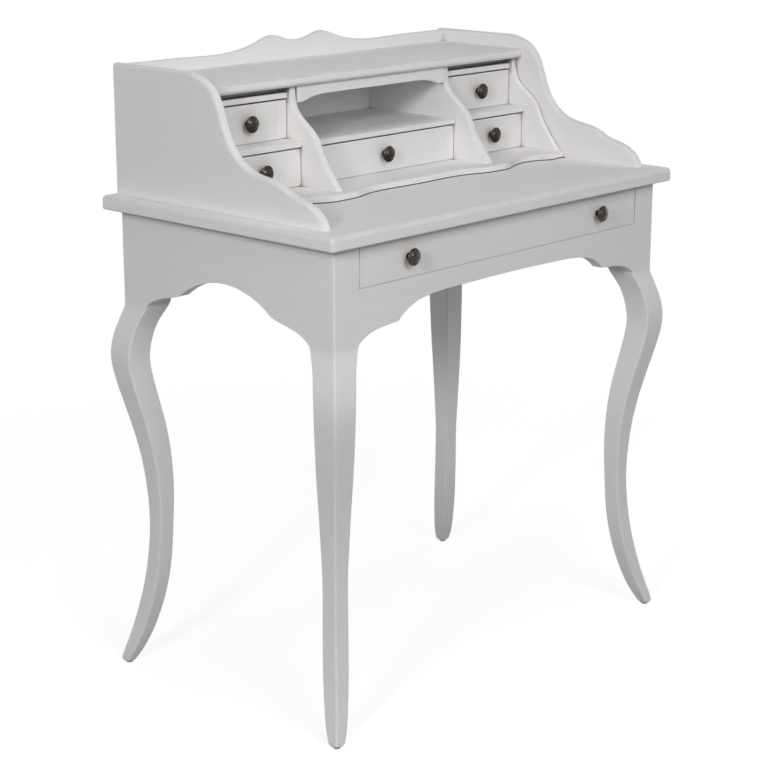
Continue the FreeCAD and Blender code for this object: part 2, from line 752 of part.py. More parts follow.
def save_shelves():
    """The shelves, and the boards under the deck with the rebate along their front."""
    a, b = SIDE_BAY_X0, SIDE_BAY_X1
    front = BACK_FACE_Y - SIDE_SHELF_DEPTH
    side = shelf(a, b, front, SIDE_SHELF_Z, UPPER_DRAWER_Z, SHELF_ROUND)
    save("shelf_right", side)
    save("shelf_left", flip_x(side))
    front = BACK_FACE_Y - TOP_BOARD_DEPTH
    lip_top = TOP_BOARD_Z + TOP_BOARD_THICKNESS
    board = shelf(a, b, front, TOP_BOARD_Z, lip_top, SHELF_ROUND)
    board = board.fuse(box(a, b, front + TOP_BOARD_REBATE_DEPTH, BACK_FACE_Y, lip_top, DECK_UNDERSIDE))
    board = board.removeSplitter()
    save("top_board_right", board)
    save("top_board_left", flip_x(board))
    front = BACK_FACE_Y - CENTRE_SHELF_DEPTH
    top_z = CENTRE_SHELF_Z + CENTRE_SHELF_THICKNESS
    save("shelf_centre", shelf(-BAY_INNER_X, BAY_INNER_X, front, CENTRE_SHELF_Z, top_z, SHELF_ROUND))


# -------------------------------------------------------------- drawers
def dome_height(radius):
    """How far the knob's domed face stands off the drawer front, at a distance from the axis."""
    edge_radius = KNOB_DIAMETER / 2 - KNOB_RIM_ROUND
    rise = KNOB_PROJECTION - KNOB_RIM - KNOB_RIM_THICKNESS / 2
    sphere = (edge_radius ** 2 + rise ** 2) / (2 * rise)
    return KNOB_PROJECTION - sphere + (sphere ** 2 - radius ** 2) ** 0.5


def dome(start, end):
    """Outline points along the domed face between two distances from the axis."""
    return [(radius, dome_height(radius)) for radius in (start, (start + end) / 2, end)]


def knob(x, y, z):
    """A turned mushroom knob on a drawer front whose face is at y, with a socket for its screw."""
    foot = KNOB_FOOT_DIAMETER / 2
    neck = KNOB_NECK_DIAMETER / 2
    flare = neck + KNOB_NECK_FLARE
    rim = KNOB_DIAMETER / 2
    lip = rim - KNOB_RIM_ROUND
    bottom = KNOB_RIM - KNOB_RIM_THICKNESS / 2
    back = ((flare + lip) / 2, (KNOB_BACK + bottom) / 2 - KNOB_BACK_SWELL / 2)
    outer = KNOB_GROOVE_DIAMETER / 2
    inner = outer - KNOB_GROOVE_WIDTH
    middle = (outer + inner) / 2
    groove = (middle, dome_height(middle) - KNOB_GROOVE_DEPTH)
    outline = [
        [(0, 0), (foot, 0)],
        [(foot, 0), (neck, KNOB_BACK / 2), (flare, KNOB_BACK)],
        [(flare, KNOB_BACK), back, (lip, bottom)],
        [(lip, bottom), (rim, KNOB_RIM), (lip, dome_height(lip))],
        dome(lip, outer),
        [(outer, dome_height(outer)), groove, (inner, dome_height(inner))],
        dome(inner, 0),
        [(0, KNOB_PROJECTION), (0, 0)],
    ]
    edges = [edge([V(a, -b, 0) for a, b in piece]) for piece in outline]
    turned = Part.Face(Part.Wire(edges)).revolve(V(0, 0, 0), V(0, 1, 0), 360)
    turned.translate(V(x, y, z))
    return turned.cut(rod(SCREW_DIAMETER / 2, V(x, y + PAST, z), V(x, y - SCREW_GRIP, z)))


def knob_screw(x, y, z, front):
    """The screw through a drawer front into its knob."""
    shank = rod(SCREW_DIAMETER / 2, V(x, y - SCREW_GRIP, z), V(x, y + front, z))
    head = rod(SCREW_HEAD_DIAMETER / 2, V(x, y + front, z), V(x, y + front + SCREW_HEAD_HEIGHT, z))
    return shank.fuse(head)


def drawer(x0, x1, y, y_back, z0, z1, build, knobs):
    """The pieces of a drawer: front, sides and back, bottom, knobs with their screws."""
    y_box = y + build.front
    box_top = z1 - build.headroom
    groove_z = z0 + GROOVE_RISE
    floor_top = groove_z + build.bottom
    in_x0 = x0 + build.side
    in_x1 = x1 - build.side
    panel = box(in_x0 - GROOVE_DEPTH, in_x1 + GROOVE_DEPTH, y_box - GROOVE_DEPTH, y_back, groove_z, floor_top)
    face = box(x0, x1, y, y_box, z0, z1).cut(panel)
    face = soften(face, DRAWER_FACE_ROUND, lambda e: is_in_face(e, "Y", y))
    left = box(x0, in_x0, y_box, y_back, z0, box_top).cut(panel)
    right = box(in_x1, x1, y_box, y_back, z0, box_top).cut(panel)
    rear = box(in_x0, in_x1, y_back - build.side, y_back, floor_top, box_top)
    fittings = []
    for x, z in knobs:
        face = face.cut(rod(SCREW_HOLE_DIAMETER / 2, V(x, y - PAST, z), V(x, y_box + PAST, z)))
        fittings.append((knob(x, y, z), knob_screw(x, y, z, build.front)))
    return face, (left, right, rear), panel, fittings


def save_desk_drawer():
    """The wide drawer over the front apron's rail."""
    half = POST_INNER_X - DESK_BUILD.reveal
    knob_z = CARCASS_TOP - DESK_KNOB_DROP
    knobs = [(-DESK_KNOB_SPACING / 2, knob_z), (DESK_KNOB_SPACING / 2, knob_z)]
    z0 = RAIL_TOP + SLIDE_GAP
    z1 = CARCASS_TOP - DESK_BUILD.reveal
    y_back = STOP_FRONT_Y - SLIDE_GAP
    face, sides, panel, fittings = drawer(-half, half, -HALF_DEPTH, y_back, z0, z1, DESK_BUILD, knobs)
    save("desk_drawer_front", face)
    for name, side in zip(("left", "right", "back"), sides):
        save("desk_drawer_" + name, side)
    save("desk_drawer_bottom", panel)
    save("desk_knob_left", *fittings[0])
    save("desk_knob_right", *fittings[1])


def save_small_drawer(name, x0, x1, setback, z0, opening):
    """One of the hutch drawers, in the opening from x0 to x1."""
    gap = SMALL_BUILD.reveal
    middle = ((x0 + x1) / 2, z0 + opening / 2)
    face, sides, panel, fittings = drawer(
        x0 + gap, x1 - gap, DECK_FRONT_Y + setback, BACK_FACE_Y - SLIDE_GAP,
        z0 + SLIDE_GAP, z0 + opening - SMALL_DRAWER_TOP_GAP, SMALL_BUILD, [middle],
    )
    save(name + "_drawer_front", face)
    save(name + "_drawer_box", *sides)
    save(name + "_drawer_bottom", panel)
    save(name + "_knob", *fittings[0])


def save_small_drawers():
    """The five hutch drawers."""
    for side, x0, x1 in (("left", -SIDE_BAY_X1, -SIDE_BAY_X0), ("right", SIDE_BAY_X0, SIDE_BAY_X1)):
        save_small_drawer("upper_" + side, x0, x1, UPPER_DRAWER_SETBACK, UPPER_DRAWER_Z, UPPER_OPENING)
        save_small_drawer("lower_" + side, x0, x1, LOWER_DRAWER_SETBACK, BASE_TOP, LOWER_OPENING)
    bay = BAY_INNER_X
    save_small_drawer("centre", -bay, bay, CENTRE_DRAWER_SETBACK, BASE_TOP, CENTRE_DRAWER_OPENING)


def main():
    """Write every piece."""
    os.makedirs("parts", exist_ok=True)
    save_legs()
    save_aprons()
    save_inside()
    save_top()
    save_hutch()
    save_desk_drawer()
    save_small_drawers()


main()
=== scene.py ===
"""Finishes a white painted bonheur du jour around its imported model, and sets it in a plain studio."""

import logging
import math
from collections.abc import Iterable, Mapping, Sequence
from dataclasses import dataclass, field
from enum import Enum
from typing import Any

import bmesh
import bpy
from mathutils import Matrix, Vector


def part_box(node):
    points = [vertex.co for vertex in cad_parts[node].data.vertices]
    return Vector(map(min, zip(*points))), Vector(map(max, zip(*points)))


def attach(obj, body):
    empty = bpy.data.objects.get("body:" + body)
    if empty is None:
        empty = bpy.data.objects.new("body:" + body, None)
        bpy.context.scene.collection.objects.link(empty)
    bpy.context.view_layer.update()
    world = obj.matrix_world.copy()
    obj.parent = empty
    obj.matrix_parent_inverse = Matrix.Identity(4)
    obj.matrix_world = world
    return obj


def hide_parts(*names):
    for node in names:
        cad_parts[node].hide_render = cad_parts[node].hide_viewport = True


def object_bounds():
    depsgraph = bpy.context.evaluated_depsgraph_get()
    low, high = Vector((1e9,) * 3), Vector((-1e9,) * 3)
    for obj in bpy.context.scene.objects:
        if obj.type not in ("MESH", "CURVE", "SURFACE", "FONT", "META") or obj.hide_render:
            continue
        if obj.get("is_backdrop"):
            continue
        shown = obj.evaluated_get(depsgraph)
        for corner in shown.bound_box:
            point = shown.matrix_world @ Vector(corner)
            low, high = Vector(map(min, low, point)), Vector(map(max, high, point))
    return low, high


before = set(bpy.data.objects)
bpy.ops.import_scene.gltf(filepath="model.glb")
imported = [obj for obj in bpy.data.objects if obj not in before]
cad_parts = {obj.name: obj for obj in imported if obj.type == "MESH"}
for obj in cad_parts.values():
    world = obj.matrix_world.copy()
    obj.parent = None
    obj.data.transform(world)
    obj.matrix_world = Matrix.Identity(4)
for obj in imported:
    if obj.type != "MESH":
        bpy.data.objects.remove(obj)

Colour = tuple[float, float, float]
Point = tuple[float, float]
Span = tuple[float, float]
Ring = list[bmesh.types.BMVert]
Mesh = bmesh.types.BMesh
Inputs = Mapping[str | int, Any]
Socket = bpy.types.NodeSocket
Material = bpy.types.Material
Piece = bpy.types.Object

MM = 0.001
UP = Vector((0, 0, 1))
WHITE = (1.0, 1.0, 1.0, 1.0)
DULL_SHINE = 0.30
WAVE_FACTOR = 20
RING_WAVES = {"Distortion": 7.0, "Detail": 2.5, "Detail Scale": 0.35, "Detail Roughness": 0.55}
PEEL_WAVES = {"Scale": 7.0, "Distortion": 16.0, "Detail": 3.0, "Detail Scale": 1.6}
log = logging.getLogger("bonheur_du_jour")


class Axis(Enum):
    """A direction of the desk: along its width, from front to back, or upright."""

    ACROSS = 0
    DEEP = 1
    UPRIGHT = 2

    @property
    def letter(self) -> str:
        """The axis as Blender names it."""
        return "XYZ"[self.value]

    def along(self, amount: float, rest: float = 0.0) -> tuple[float, float, float]:
        """A triple with one value on this axis and another on the two others."""
        return tuple(amount if i == self.value else rest for i in range(3))


class Place(Enum):
    """A place on the desk."""

    @property
    def word(self) -> str:
        """The place as it stands in a piece's name."""
        return self.name.lower()


class Hand(Place):
    """The side of the desk that a piece is on, by its sign."""

    LEFT = -1
    RIGHT = 1


class Corner(Place):
    """A corner of the desk, seen from above, by the signs of its two coordinates."""

    FRONT_LEFT = (-1, -1)
    BACK_LEFT = (-1, 1)
    FRONT_RIGHT = (1, -1)
    BACK_RIGHT = (1, 1)

    def part(self, node: str) -> list[Vector]:
        """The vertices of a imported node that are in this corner."""
        across, deep = self.value
        places = [v.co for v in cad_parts[node].data.vertices]
        return [place for place in places if place.x * across > 0 and place.y * deep > 0]


def extent(points: Iterable[Vector]) -> tuple[Vector, Vector]:
    """The lowest and highest corners of the box round some points."""
    columns = list(zip(*points))
    return Vector([min(c) for c in columns]), Vector([max(c) for c in columns])


# --- nodes
@dataclass(frozen=True)
class Noise:
    """Soft noise: its lumps to a metre, how many finer layers lie on them and how strong those are."""

    scale: float
    layers: float = 2.0
    strength: float = 0.5

    @property
    def inputs(self) -> dict[str, float]:
        """Its values, by the names of the node's sockets."""
        return {"Scale": self.scale, "Detail": self.layers, "Roughness": self.strength}


@dataclass(frozen=True)
class Step:
    """A soft step: where it begins and ends, and the values before and after it."""

    start: float
    end: float
    low: float = 0.0
    high: float = 1.0

    def times(self, factor: float) -> "Step":
        """The step with its start and end multiplied."""
        return Step(self.start * factor, self.end * factor, self.low, self.high)


@dataclass
class Sheet:
    """The node tree of a material or of the world, with short ways to add to it."""

    owner: Material | bpy.types.World

    def __post_init__(self) -> None:
        """Empties the tree."""
        self.owner.use_nodes = True
        self.owner.node_tree.nodes.clear()

    @classmethod
    def blank(cls, name: str) -> "Sheet":
        """Starts the node tree of a new material."""
        return cls(bpy.data.materials.new(name))

    def add(self, kind: str, inputs: Inputs, **settings: Any) -> bpy.types.Node:
        """Adds a node, fills its sockets and joins the ones that are given a socket.

        Args:
            kind: Blender's name for the node, without its ShaderNode prefix.
            inputs: a value or another node's socket for each of its sockets.
            settings: the node's own properties.

        Returns:
            The new node.
        """
        tree = self.owner.node_tree
        node = tree.nodes.new("ShaderNode" + kind)
        for name, value in settings.items():
            setattr(node, name, value)
        for key, value in inputs.items():
            if isinstance(value, Socket):
                tree.links.new(value, node.inputs[key])
            else:
                node.inputs[key].default_value = value
        return node

    def maths(self, operation: str, first: Any, second: Any = 0.0, third: Any = 0.0) -> Socket:
        """The result of one sum on up to three numbers or sockets."""
        return self.add("Math", {0: first, 1: second, 2: third}, operation=operation).outputs[0]

    def both(self, first: Socket, share: float, second: Socket, rest: float | None = None) -> Socket:
        """Two patterns added up: the first at a share, the second at the rest or at a share of its own."""
        rest = 1 - share if rest is None else rest
        return self.maths("MULTIPLY_ADD", first, share, self.maths("MULTIPLY", second, rest))

    def ramp(self, value: Socket, step: Step) -> Socket:
        """Turns a number into a soft step."""
        inputs = {0: value, 1: step.start, 2: step.end, 3: step.low, 4: step.high}
        return self.add("MapRange", inputs, interpolation_type="SMOOTHSTEP").outputs[0]

    def spread(self, value: Socket, low: float, high: float) -> Socket:
        """Stretches a number that runs from 0 to 1 over another range."""
        return self.add("MapRange", {0: value, 1: 0.0, 2: 1.0, 3: low, 4: high}).outputs[0]

    def mix(self, share: Any, first: Any, second: Any) -> Socket:
        """The colour between two colours, at a share of the way."""
        inputs = {0: share, 6: opaque(first), 7: opaque(second)}
        return self.add("Mix", inputs, data_type="RGBA").outputs[2]

    def blend(self, share: Socket, first: Socket, second: Socket) -> Socket:
        """The shader between two shaders, at a share of the way."""
        return self.add("MixShader", {0: share, 1: first, 2: second}).outputs[0]

    @property
    def place(self) -> Socket:
        """The coordinates of the piece itself, which go along with it when it moves."""
        return self.add("TexCoord", {}).outputs["Object"]

    def noise(self, noise: Noise, place: Socket | None = None) -> Socket:
        """Soft noise from 0 to 1, at the piece's own coordinates or at others."""
        return self.add("TexNoise", {"Vector": place or self.place, **noise.inputs}).outputs[0]

    def parts(self, vector: Socket) -> bpy.types.bpy_prop_collection:
        """The three numbers of a vector."""
        return self.add("SeparateXYZ", {0: vector}).outputs

    def length(self, vector: Socket) -> Socket:
        """How long a vector is."""
        return self.add("VectorMath", {0: vector}, operation="LENGTH").outputs["Value"]

    def facing(self, axis: Axis) -> Socket:
        """How squarely the surface faces along an axis, from 0 to 1."""
        normal = self.add("NewGeometry", {}).outputs["Normal"]
        return self.maths("ABSOLUTE", self.parts(normal)[axis.value])

    def seen(self) -> Socket:
        """1 on the way from the camera, in a reflection or through glass, and 0 where light is gathered."""
        path = self.add("LightPath", {}).outputs
        either = self.maths("MAXIMUM", path["Is Camera Ray"], path["Is Glossy Ray"])
        return self.maths("MAXIMUM", either, path["Is Transmission Ray"])

    def drawn(self, grain: Axis, length: float, start: Vector = Vector()) -> Socket:
        """The piece's coordinates for a pattern that is longer than wide along the grain, from a start on."""
        scale = Vector(grain.along(1.0 / length, 1.0))
        return self.add("Mapping", {0: self.place, 1: -start * scale, 3: scale}).outputs[0]

    def bump(self, height: Socket, depth: float) -> Socket:
        """The normal of a surface whose relief runs from 0 to a depth in metres."""
        return self.add("Bump", {"Height": height, "Distance": depth}).outputs[0]


def opaque(colour: Any) -> Any:
    """A colour with full alpha, or the socket that was given."""
    return colour if isinstance(colour, Socket) else (*colour, 1.0)


# --- finishes
@dataclass(frozen=True)
class Lay:
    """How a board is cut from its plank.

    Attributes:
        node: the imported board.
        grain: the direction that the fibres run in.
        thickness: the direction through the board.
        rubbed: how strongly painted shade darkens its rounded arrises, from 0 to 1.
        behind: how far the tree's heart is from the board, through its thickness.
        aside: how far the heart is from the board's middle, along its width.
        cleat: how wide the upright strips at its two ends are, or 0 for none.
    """

    node: str
    grain: Axis
    thickness: Axis
    rubbed: float = 1.0
    behind: float = 75 * MM
    aside: float = 18 * MM
    cleat: float = 0.0

    @property
    def width(self) -> Axis:
        """The direction across the fibres."""
        return next(axis for axis in Axis if axis not in (self.grain, self.thickness))

    @property
    def heart(self) -> Vector:
        """A point on the line of the tree's heart."""
        low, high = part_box(self.node)
        shift = Vector(self.thickness.along(self.behind)) + Vector(self.width.along(self.aside))
        return (low + high) / 2 + shift


@dataclass(frozen=True)
class Finish:
    """What every finish has: how deep its relief is, and how rough it is at least and at most."""

    relief: float
    roughness: Span

    def closed(self, sheet: Sheet, colour: Socket, gloss: Socket, height: Socket, **fixed: float) -> Material:
        """Closes a material's node sheet with its surface shader.

        Args:
            sheet: the material's node sheet.
            colour: its colour.
            gloss: the pattern that its roughness follows, from 0 to 1.
            height: the pattern that its relief follows, from 0 to 1.
            fixed: the shader's other settings, by their names with _ for a space.

        Returns:
            The finished material.
        """
        inputs = {name.replace("_", " "): value for name, value in fixed.items()}
        rough, normal = sheet.spread(gloss, *self.roughness), sheet.bump(height, self.relief)
        inputs |= {"Base Color": colour, "Roughness": rough, "Normal": normal}
        sheet.add("OutputMaterial", {0: sheet.add("BsdfPrincipled", inputs).outputs[0]})
        return sheet.owner


def growth_rings(sheet: Sheet, lay: Lay, spacing: float, length: float) -> Socket:
    """The year rings that a board cuts through, as bands from 0 to 1.

    Args:
        sheet: the material's node sheet.
        lay: how the board is cut from its plank.
        spacing: how far one ring is from the next, in metres.
        length: how many times longer than wide the waves in the rings are.

    Returns:
        The socket with the bands.
    """
    scale = 2 * math.pi / (WAVE_FACTOR * spacing)
    inputs = {"Vector": sheet.drawn(lay.grain, length, lay.heart), "Scale": scale, **RING_WAVES}
    look = {"wave_type": "RINGS", "rings_direction": lay.grain.letter, "wave_profile": "SAW"}
    return sheet.add("TexWave", inputs, **look).outputs["Fac"]


@dataclass(frozen=True)
class Paint(Finish):
    """Thin satin paint in a warm off-white, with the grain of the wood showing through."""

    relief: float = 0.035 * MM
    roughness: Span = (0.46, 0.62)
    light: Colour = (0.798, 0.786, 0.779)
    shade: Colour = (0.762, 0.751, 0.744)
    # painted shade: a colour darker than the paint on rounded arrises, which dims the light that the lamps put
    # on them, and the facing range over which it comes in
    arris: Colour = (0.622, 0.612, 0.606)
    arris_span: Span = (0.08, 0.66)
    patches: Noise = Noise(38.0, 3.0, 0.6)
    patch_step: Step = Step(0.30, 0.62, 0.6, 1.0)
    # painted shade: the dark colour mixed into the paint in gaps and under ledges, where shade falls, and the
    # settings that say where it goes
    grime: Colour = (0.130, 0.118, 0.108)
    grime_upright: float = 0.65
    crevice_reach: float = 20.0 * MM
    crevice_more: float = 10.0 * MM
    crevice_lift: float = 0.8
    crevice_step: Step = Step(0.34, 0.50, 1.0, 0.0)
    fine_fibres: Noise = Noise(330.0, 3.0, 0.62)
    broad_fibres: Noise = Noise(66.0)
    fibre_length: float = 34.0
    ring_spacing: float = 7.5 * MM
    ring_length: float = 16.0
    ring_share: float = 0.16
    fine_share: float = 0.6
    grain_share: float = 0.55
    cleat_contrast: float = 2.2
    clouds: Noise = Noise(5.0, 2.0, 0.45)
    tone_step: Step = Step(0.28, 0.72)

    def fibres(self, sheet: Sheet, grain: Axis) -> Socket:
        """Draws the raised fibres and brush marks along the grain.

        Args:
            sheet: the material's node sheet.
            grain: the direction that they run in.

        Returns:
            The socket with them, from 0 to 1.
        """
        drawn = sheet.drawn(grain, self.fibre_length)
        fine, broad = (sheet.noise(kind, drawn) for kind in (self.fine_fibres, self.broad_fibres))
        return sheet.both(fine, self.fine_share, broad)

    def crevices(self, sheet: Sheet) -> Socket:
        """Finds how much painted shade a surface gets, in a narrow gap or close under a ledge.

        Args:
            sheet: the material's node sheet.

        Returns:
            The socket with the share of painted shade, from 0 in the open to 1.
        """
        # painted shade: ambient occlusion with its normal tilted up, so that a ledge overhead darkens the paint
        # more than a surface below
        normal = sheet.add("NewGeometry", {}).outputs["Normal"]
        lift = Axis.UPRIGHT.along(self.crevice_lift)
        raised = sheet.add("VectorMath", {0: normal, 1: lift}, operation="ADD").outputs[0]
        raised = sheet.add("VectorMath", {0: raised}, operation="NORMALIZE").outputs[0]
        farthest = self.crevice_reach + self.crevice_more
        reach = sheet.spread(sheet.facing(Axis.ACROSS), self.crevice_reach, farthest)
        free = sheet.add("AmbientOcclusion", {"Distance": reach, "Normal": raised}, samples=12).outputs["AO"]
        level = sheet.spread(sheet.facing(Axis.UPRIGHT), self.grime_upright, 1.0)
        return sheet.maths("MULTIPLY", sheet.ramp(free, self.crevice_step), level)

    def arrises(self, sheet: Sheet, lay: Lay) -> Socket:
        """Finds how much painted shade a surface gets near the middle of its rounded arrises.

        Args:
            sheet: the material's node sheet.
            lay: how the piece is cut from its plank.

        Returns:
            The socket with the share of painted shade, from 0 on a face up to the strength that the lay gives.
        """
        edge = sheet.maths("MINIMUM", sheet.facing(Axis.ACROSS), sheet.facing(Axis.DEEP))
        if lay.grain is not Axis.UPRIGHT:
            flat = sheet.facing(lay.thickness)
            across = sheet.maths("SQRT", sheet.maths("SUBTRACT", 1.0, sheet.maths("MULTIPLY", flat, flat)))
            edge = sheet.maths("MAXIMUM", edge, sheet.maths("MINIMUM", flat, across))
        return sheet.ramp(edge, Step(*self.arris_span, 0.0, lay.rubbed))

    def coat(self, name: str, lay: Lay) -> Material:
        """Makes the paint for a piece.

        Args:
            name: what the material is called.
            lay: how the piece is cut from its plank.

        Returns:
            The painted material.
        """
        sheet = Sheet.blank(name)
        fibres = self.fibres(sheet, lay.grain)
        rings = growth_rings(sheet, lay, self.ring_spacing, self.ring_length)
        if lay.cleat:
            low, high = (corner.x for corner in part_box(lay.node))
            off = sheet.maths("SUBTRACT", sheet.parts(sheet.place)[0], (low + high) / 2)
            strip = sheet.maths("GREATER_THAN", sheet.maths("ABSOLUTE", off), (high - low) / 2 - lay.cleat)
            upright = sheet.maths("SUBTRACT", self.fibres(sheet, Axis.UPRIGHT), 0.5)
            upright = sheet.maths("MULTIPLY_ADD", upright, self.cleat_contrast, 0.5)
            patterns = (sheet.add("Mix", {0: strip, 2: pattern, 3: upright}) for pattern in (fibres, rings))
            fibres, rings = (node.outputs[0] for node in patterns)
        grain = sheet.both(rings, self.ring_share, fibres)
        clouds = sheet.noise(self.clouds)
        tone = sheet.both(grain, self.grain_share, clouds)
        colour = sheet.mix(sheet.ramp(tone, self.tone_step), self.shade, self.light)
        patchy = sheet.ramp(sheet.noise(self.patches), self.patch_step)
        # painted shade: darkens the rounded arrises, unevenly, where the lamps would light them brighter than
        # the faces
        colour = sheet.mix(sheet.maths("MULTIPLY", self.arrises(sheet, lay), patchy), colour, self.arris)
        # painted shade: darkens the paint in narrow gaps and close under ledges
        colour = sheet.mix(self.crevices(sheet), colour, self.grime)
        gloss = sheet.both(clouds, 0.5, fibres)
        return self.closed(sheet, colour, gloss, grain, Specular_IOR_Level=DULL_SHINE)


@dataclass(frozen=True)
class BareWood(Finish):
    """Pale planed wood with no finish on it."""

    relief: float = 0.06 * MM
    roughness: Span = (0.52, 0.72)
    early: Colour = (0.640, 0.480, 0.300)
    late: Colour = (0.470, 0.315, 0.175)
    end_grain: Colour = (0.380, 0.255, 0.145)
    pore: Colour = (0.290, 0.185, 0.100)
    ring_spacing: float = 4.2 * MM
    ring_length: float = 20.0
    late_step: Step = Step(0.35, 0.98)
    fibres: Noise = Noise(620.0, 3.0, 0.65)
    fibre_length: float = 45.0
    fibre_step: Step = Step(0.35, 0.80, 0.0, 0.35)
    clouds: Noise = Noise(22.0)
    cloud_length: float = 6.0
    pores: Noise = Noise(1500.0, 1.0)
    pore_step: Step = Step(0.66, 0.76)
    end_step: Step = Step(0.80, 0.95, 0.0, 0.6)
    late_share: float = 0.62
    cloud_share: float = 0.30
    pore_share: float = 0.55
    pore_depth: float = 0.8

    def coat(self, name: str, lay: Lay) -> Material:
        """Makes the bare wood for a piece.

        Args:
            name: what the material is called.
            lay: how the piece is cut from its plank.

        Returns:
            The wood's material.
        """
        sheet = Sheet.blank(name)
        late = sheet.ramp(growth_rings(sheet, lay, self.ring_spacing, self.ring_length), self.late_step)
        drawn = sheet.drawn(lay.grain, self.fibre_length)
        fibres = sheet.noise(self.fibres, drawn)
        clouds = sheet.noise(self.clouds, sheet.drawn(lay.grain, self.cloud_length))
        colour = sheet.mix(sheet.both(late, self.late_share, clouds, self.cloud_share), self.early, self.late)
        colour = sheet.mix(sheet.ramp(fibres, self.fibre_step), colour, self.late)
        pores = sheet.ramp(sheet.noise(self.pores, drawn), self.pore_step)
        colour = sheet.mix(sheet.maths("MULTIPLY", pores, self.pore_share), colour, self.pore)
        end = sheet.ramp(sheet.facing(lay.grain), self.end_step)
        height = sheet.maths("SUBTRACT", fibres, sheet.maths("MULTIPLY", pores, self.pore_depth))
        colour = sheet.mix(end, colour, self.end_grain)
        return self.closed(sheet, colour, fibres, height, Specular_IOR_Level=DULL_SHINE)


@dataclass(frozen=True)
class Plywood(Finish):
    """Thin plywood: peeled veneer on its faces, and its plies on its edges."""

    relief: float = 0.04 * MM
    roughness: Span = (0.50, 0.68)
    light: Colour = (0.640, 0.490, 0.320)
    dark: Colour = (0.510, 0.360, 0.215)
    glue: Colour = (0.260, 0.160, 0.090)
    ply: float = 1.0 * MM
    seam: Step = Step(0.0, 0.06, 0.7, 0.0)
    peel_length: float = 5.0
    fibres: Noise = Noise(560.0, 3.0, 0.6)
    fibre_length: float = 40.0
    tone_step: Step = Step(0.2, 0.85)
    face_step: Step = Step(0.6, 0.8)

    def coat(self, name: str, lay: Lay) -> Material:
        """Makes the plywood for a drawer bottom.

        Args:
            name: what the material is called.
            lay: how its face veneer lies.

        Returns:
            The plywood's material.
        """
        sheet = Sheet.blank(name)
        inputs = {"Vector": sheet.drawn(lay.grain, self.peel_length), **PEEL_WAVES}
        peel = sheet.add("TexWave", inputs, bands_direction=lay.width.letter, wave_profile="SIN").outputs["Fac"]
        fibres = sheet.noise(self.fibres, sheet.drawn(lay.grain, self.fibre_length))
        tone = sheet.ramp(sheet.both(peel, 0.5, fibres), self.tone_step)
        face = sheet.mix(tone, self.light, self.dark)
        middle = sum(corner.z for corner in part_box(lay.node)) / 2
        height = sheet.maths("SUBTRACT", sheet.parts(sheet.place)[2], middle)
        layer = sheet.maths("FRACT", sheet.maths("MULTIPLY", height, 0.5 / self.ply))
        plies = sheet.mix(sheet.maths("GREATER_THAN", layer, 0.5), self.light, self.dark)
        plies = sheet.mix(sheet.ramp(sheet.maths("PINGPONG", layer, 0.25), self.seam), plies, self.glue)
        flat = sheet.ramp(sheet.facing(lay.thickness), self.face_step)
        return self.closed(sheet, sheet.mix(flat, plies, face), fibres, fibres, Specular_IOR_Level=DULL_SHINE)


@dataclass(frozen=True)
class Bronze(Finish):
    """Dark antiqued bronze, lightly waxed and worn a little at the rim and the groove."""

    relief: float = 0.02 * MM
    roughness: Span = (0.10, 0.20)
    dark: Colour = (0.006, 0.005, 0.0042)
    brown: Colour = (0.014, 0.011, 0.0084)
    rubbed: Colour = (0.085, 0.067, 0.050)
    shoulder: float = 0.58
    rim_step: Step = Step(0.90, 0.99)
    groove_step: Step = Step(0.03, 0.10, 0.9, 0.0)
    seeds: float = 9.0
    patina: Noise = Noise(210.0, 4.0, 0.6)
    patina_step: Step = Step(0.35, 0.70)
    patina_share: float = 0.7
    specks: Noise = Noise(1400.0, 2.0, 0.6)
    speck_step: Step = Step(0.38, 0.62, 0.15, 0.75)
    wax: float = 0.25
    wax_roughness: float = 0.06

    def coat(self, name: str, radius: float) -> Material:
        """Makes the bronze for a knob.

        Args:
            name: what the material is called.
            radius: the knob's own radius, at which its rim is worn.

        Returns:
            The bronze's material.
        """
        sheet = Sheet.blank(name)
        seed = sheet.maths("MULTIPLY", sheet.add("ObjectInfo", {}).outputs["Random"], self.seeds)
        inputs = {"Vector": sheet.place, "W": seed, **self.patina.inputs}
        patina = sheet.add("TexNoise", inputs, noise_dimensions="4D").outputs[0]
        specks = sheet.noise(self.specks)
        colour = sheet.mix(sheet.ramp(patina, self.patina_step), self.dark, self.brown)
        parts = sheet.parts(sheet.place)
        out = sheet.length(sheet.add("CombineXYZ", {0: parts[0], 2: parts[2]}).outputs[0])
        rim = sheet.ramp(out, self.rim_step.times(radius))
        off = sheet.maths("ABSOLUTE", sheet.maths("SUBTRACT", out, radius * self.shoulder))
        worn = sheet.maths("MAXIMUM", rim, sheet.ramp(off, self.groove_step.times(radius)))
        rub = sheet.maths("MULTIPLY", worn, sheet.ramp(specks, self.speck_step))
        colour = sheet.mix(rub, colour, self.rubbed)
        gloss = sheet.both(patina, self.patina_share, specks)
        wax = {"Coat_Weight": self.wax, "Coat_Roughness": self.wax_roughness}
        return self.closed(sheet, colour, gloss, specks, Metallic=1.0, **wax)


@dataclass(frozen=True)
class ZincSteel(Finish):
    """Zinc-plated steel, slightly dulled."""

    relief: float = 0.015 * MM
    roughness: Span = (0.28, 0.46)
    bright: Colour = (0.640, 0.640, 0.625)
    dull: Colour = (0.420, 0.410, 0.380)
    bloom: Noise = Noise(260.0, 3.0, 0.6)
    bloom_step: Step = Step(0.3, 0.7)
    grit: Noise = Noise(2200.0, 2.0, 0.6)

    def coat(self, name: str) -> Material:
        """Makes the plated steel for a screw or bolt.

        Args:
            name: what the material is called.

        Returns:
            The steel's material.
        """
        sheet = Sheet.blank(name)
        bloom = sheet.noise(self.bloom)
        colour = sheet.mix(sheet.ramp(bloom, self.bloom_step), self.bright, self.dull)
        return self.closed(sheet, colour, bloom, sheet.noise(self.grit), Metallic=1.0)


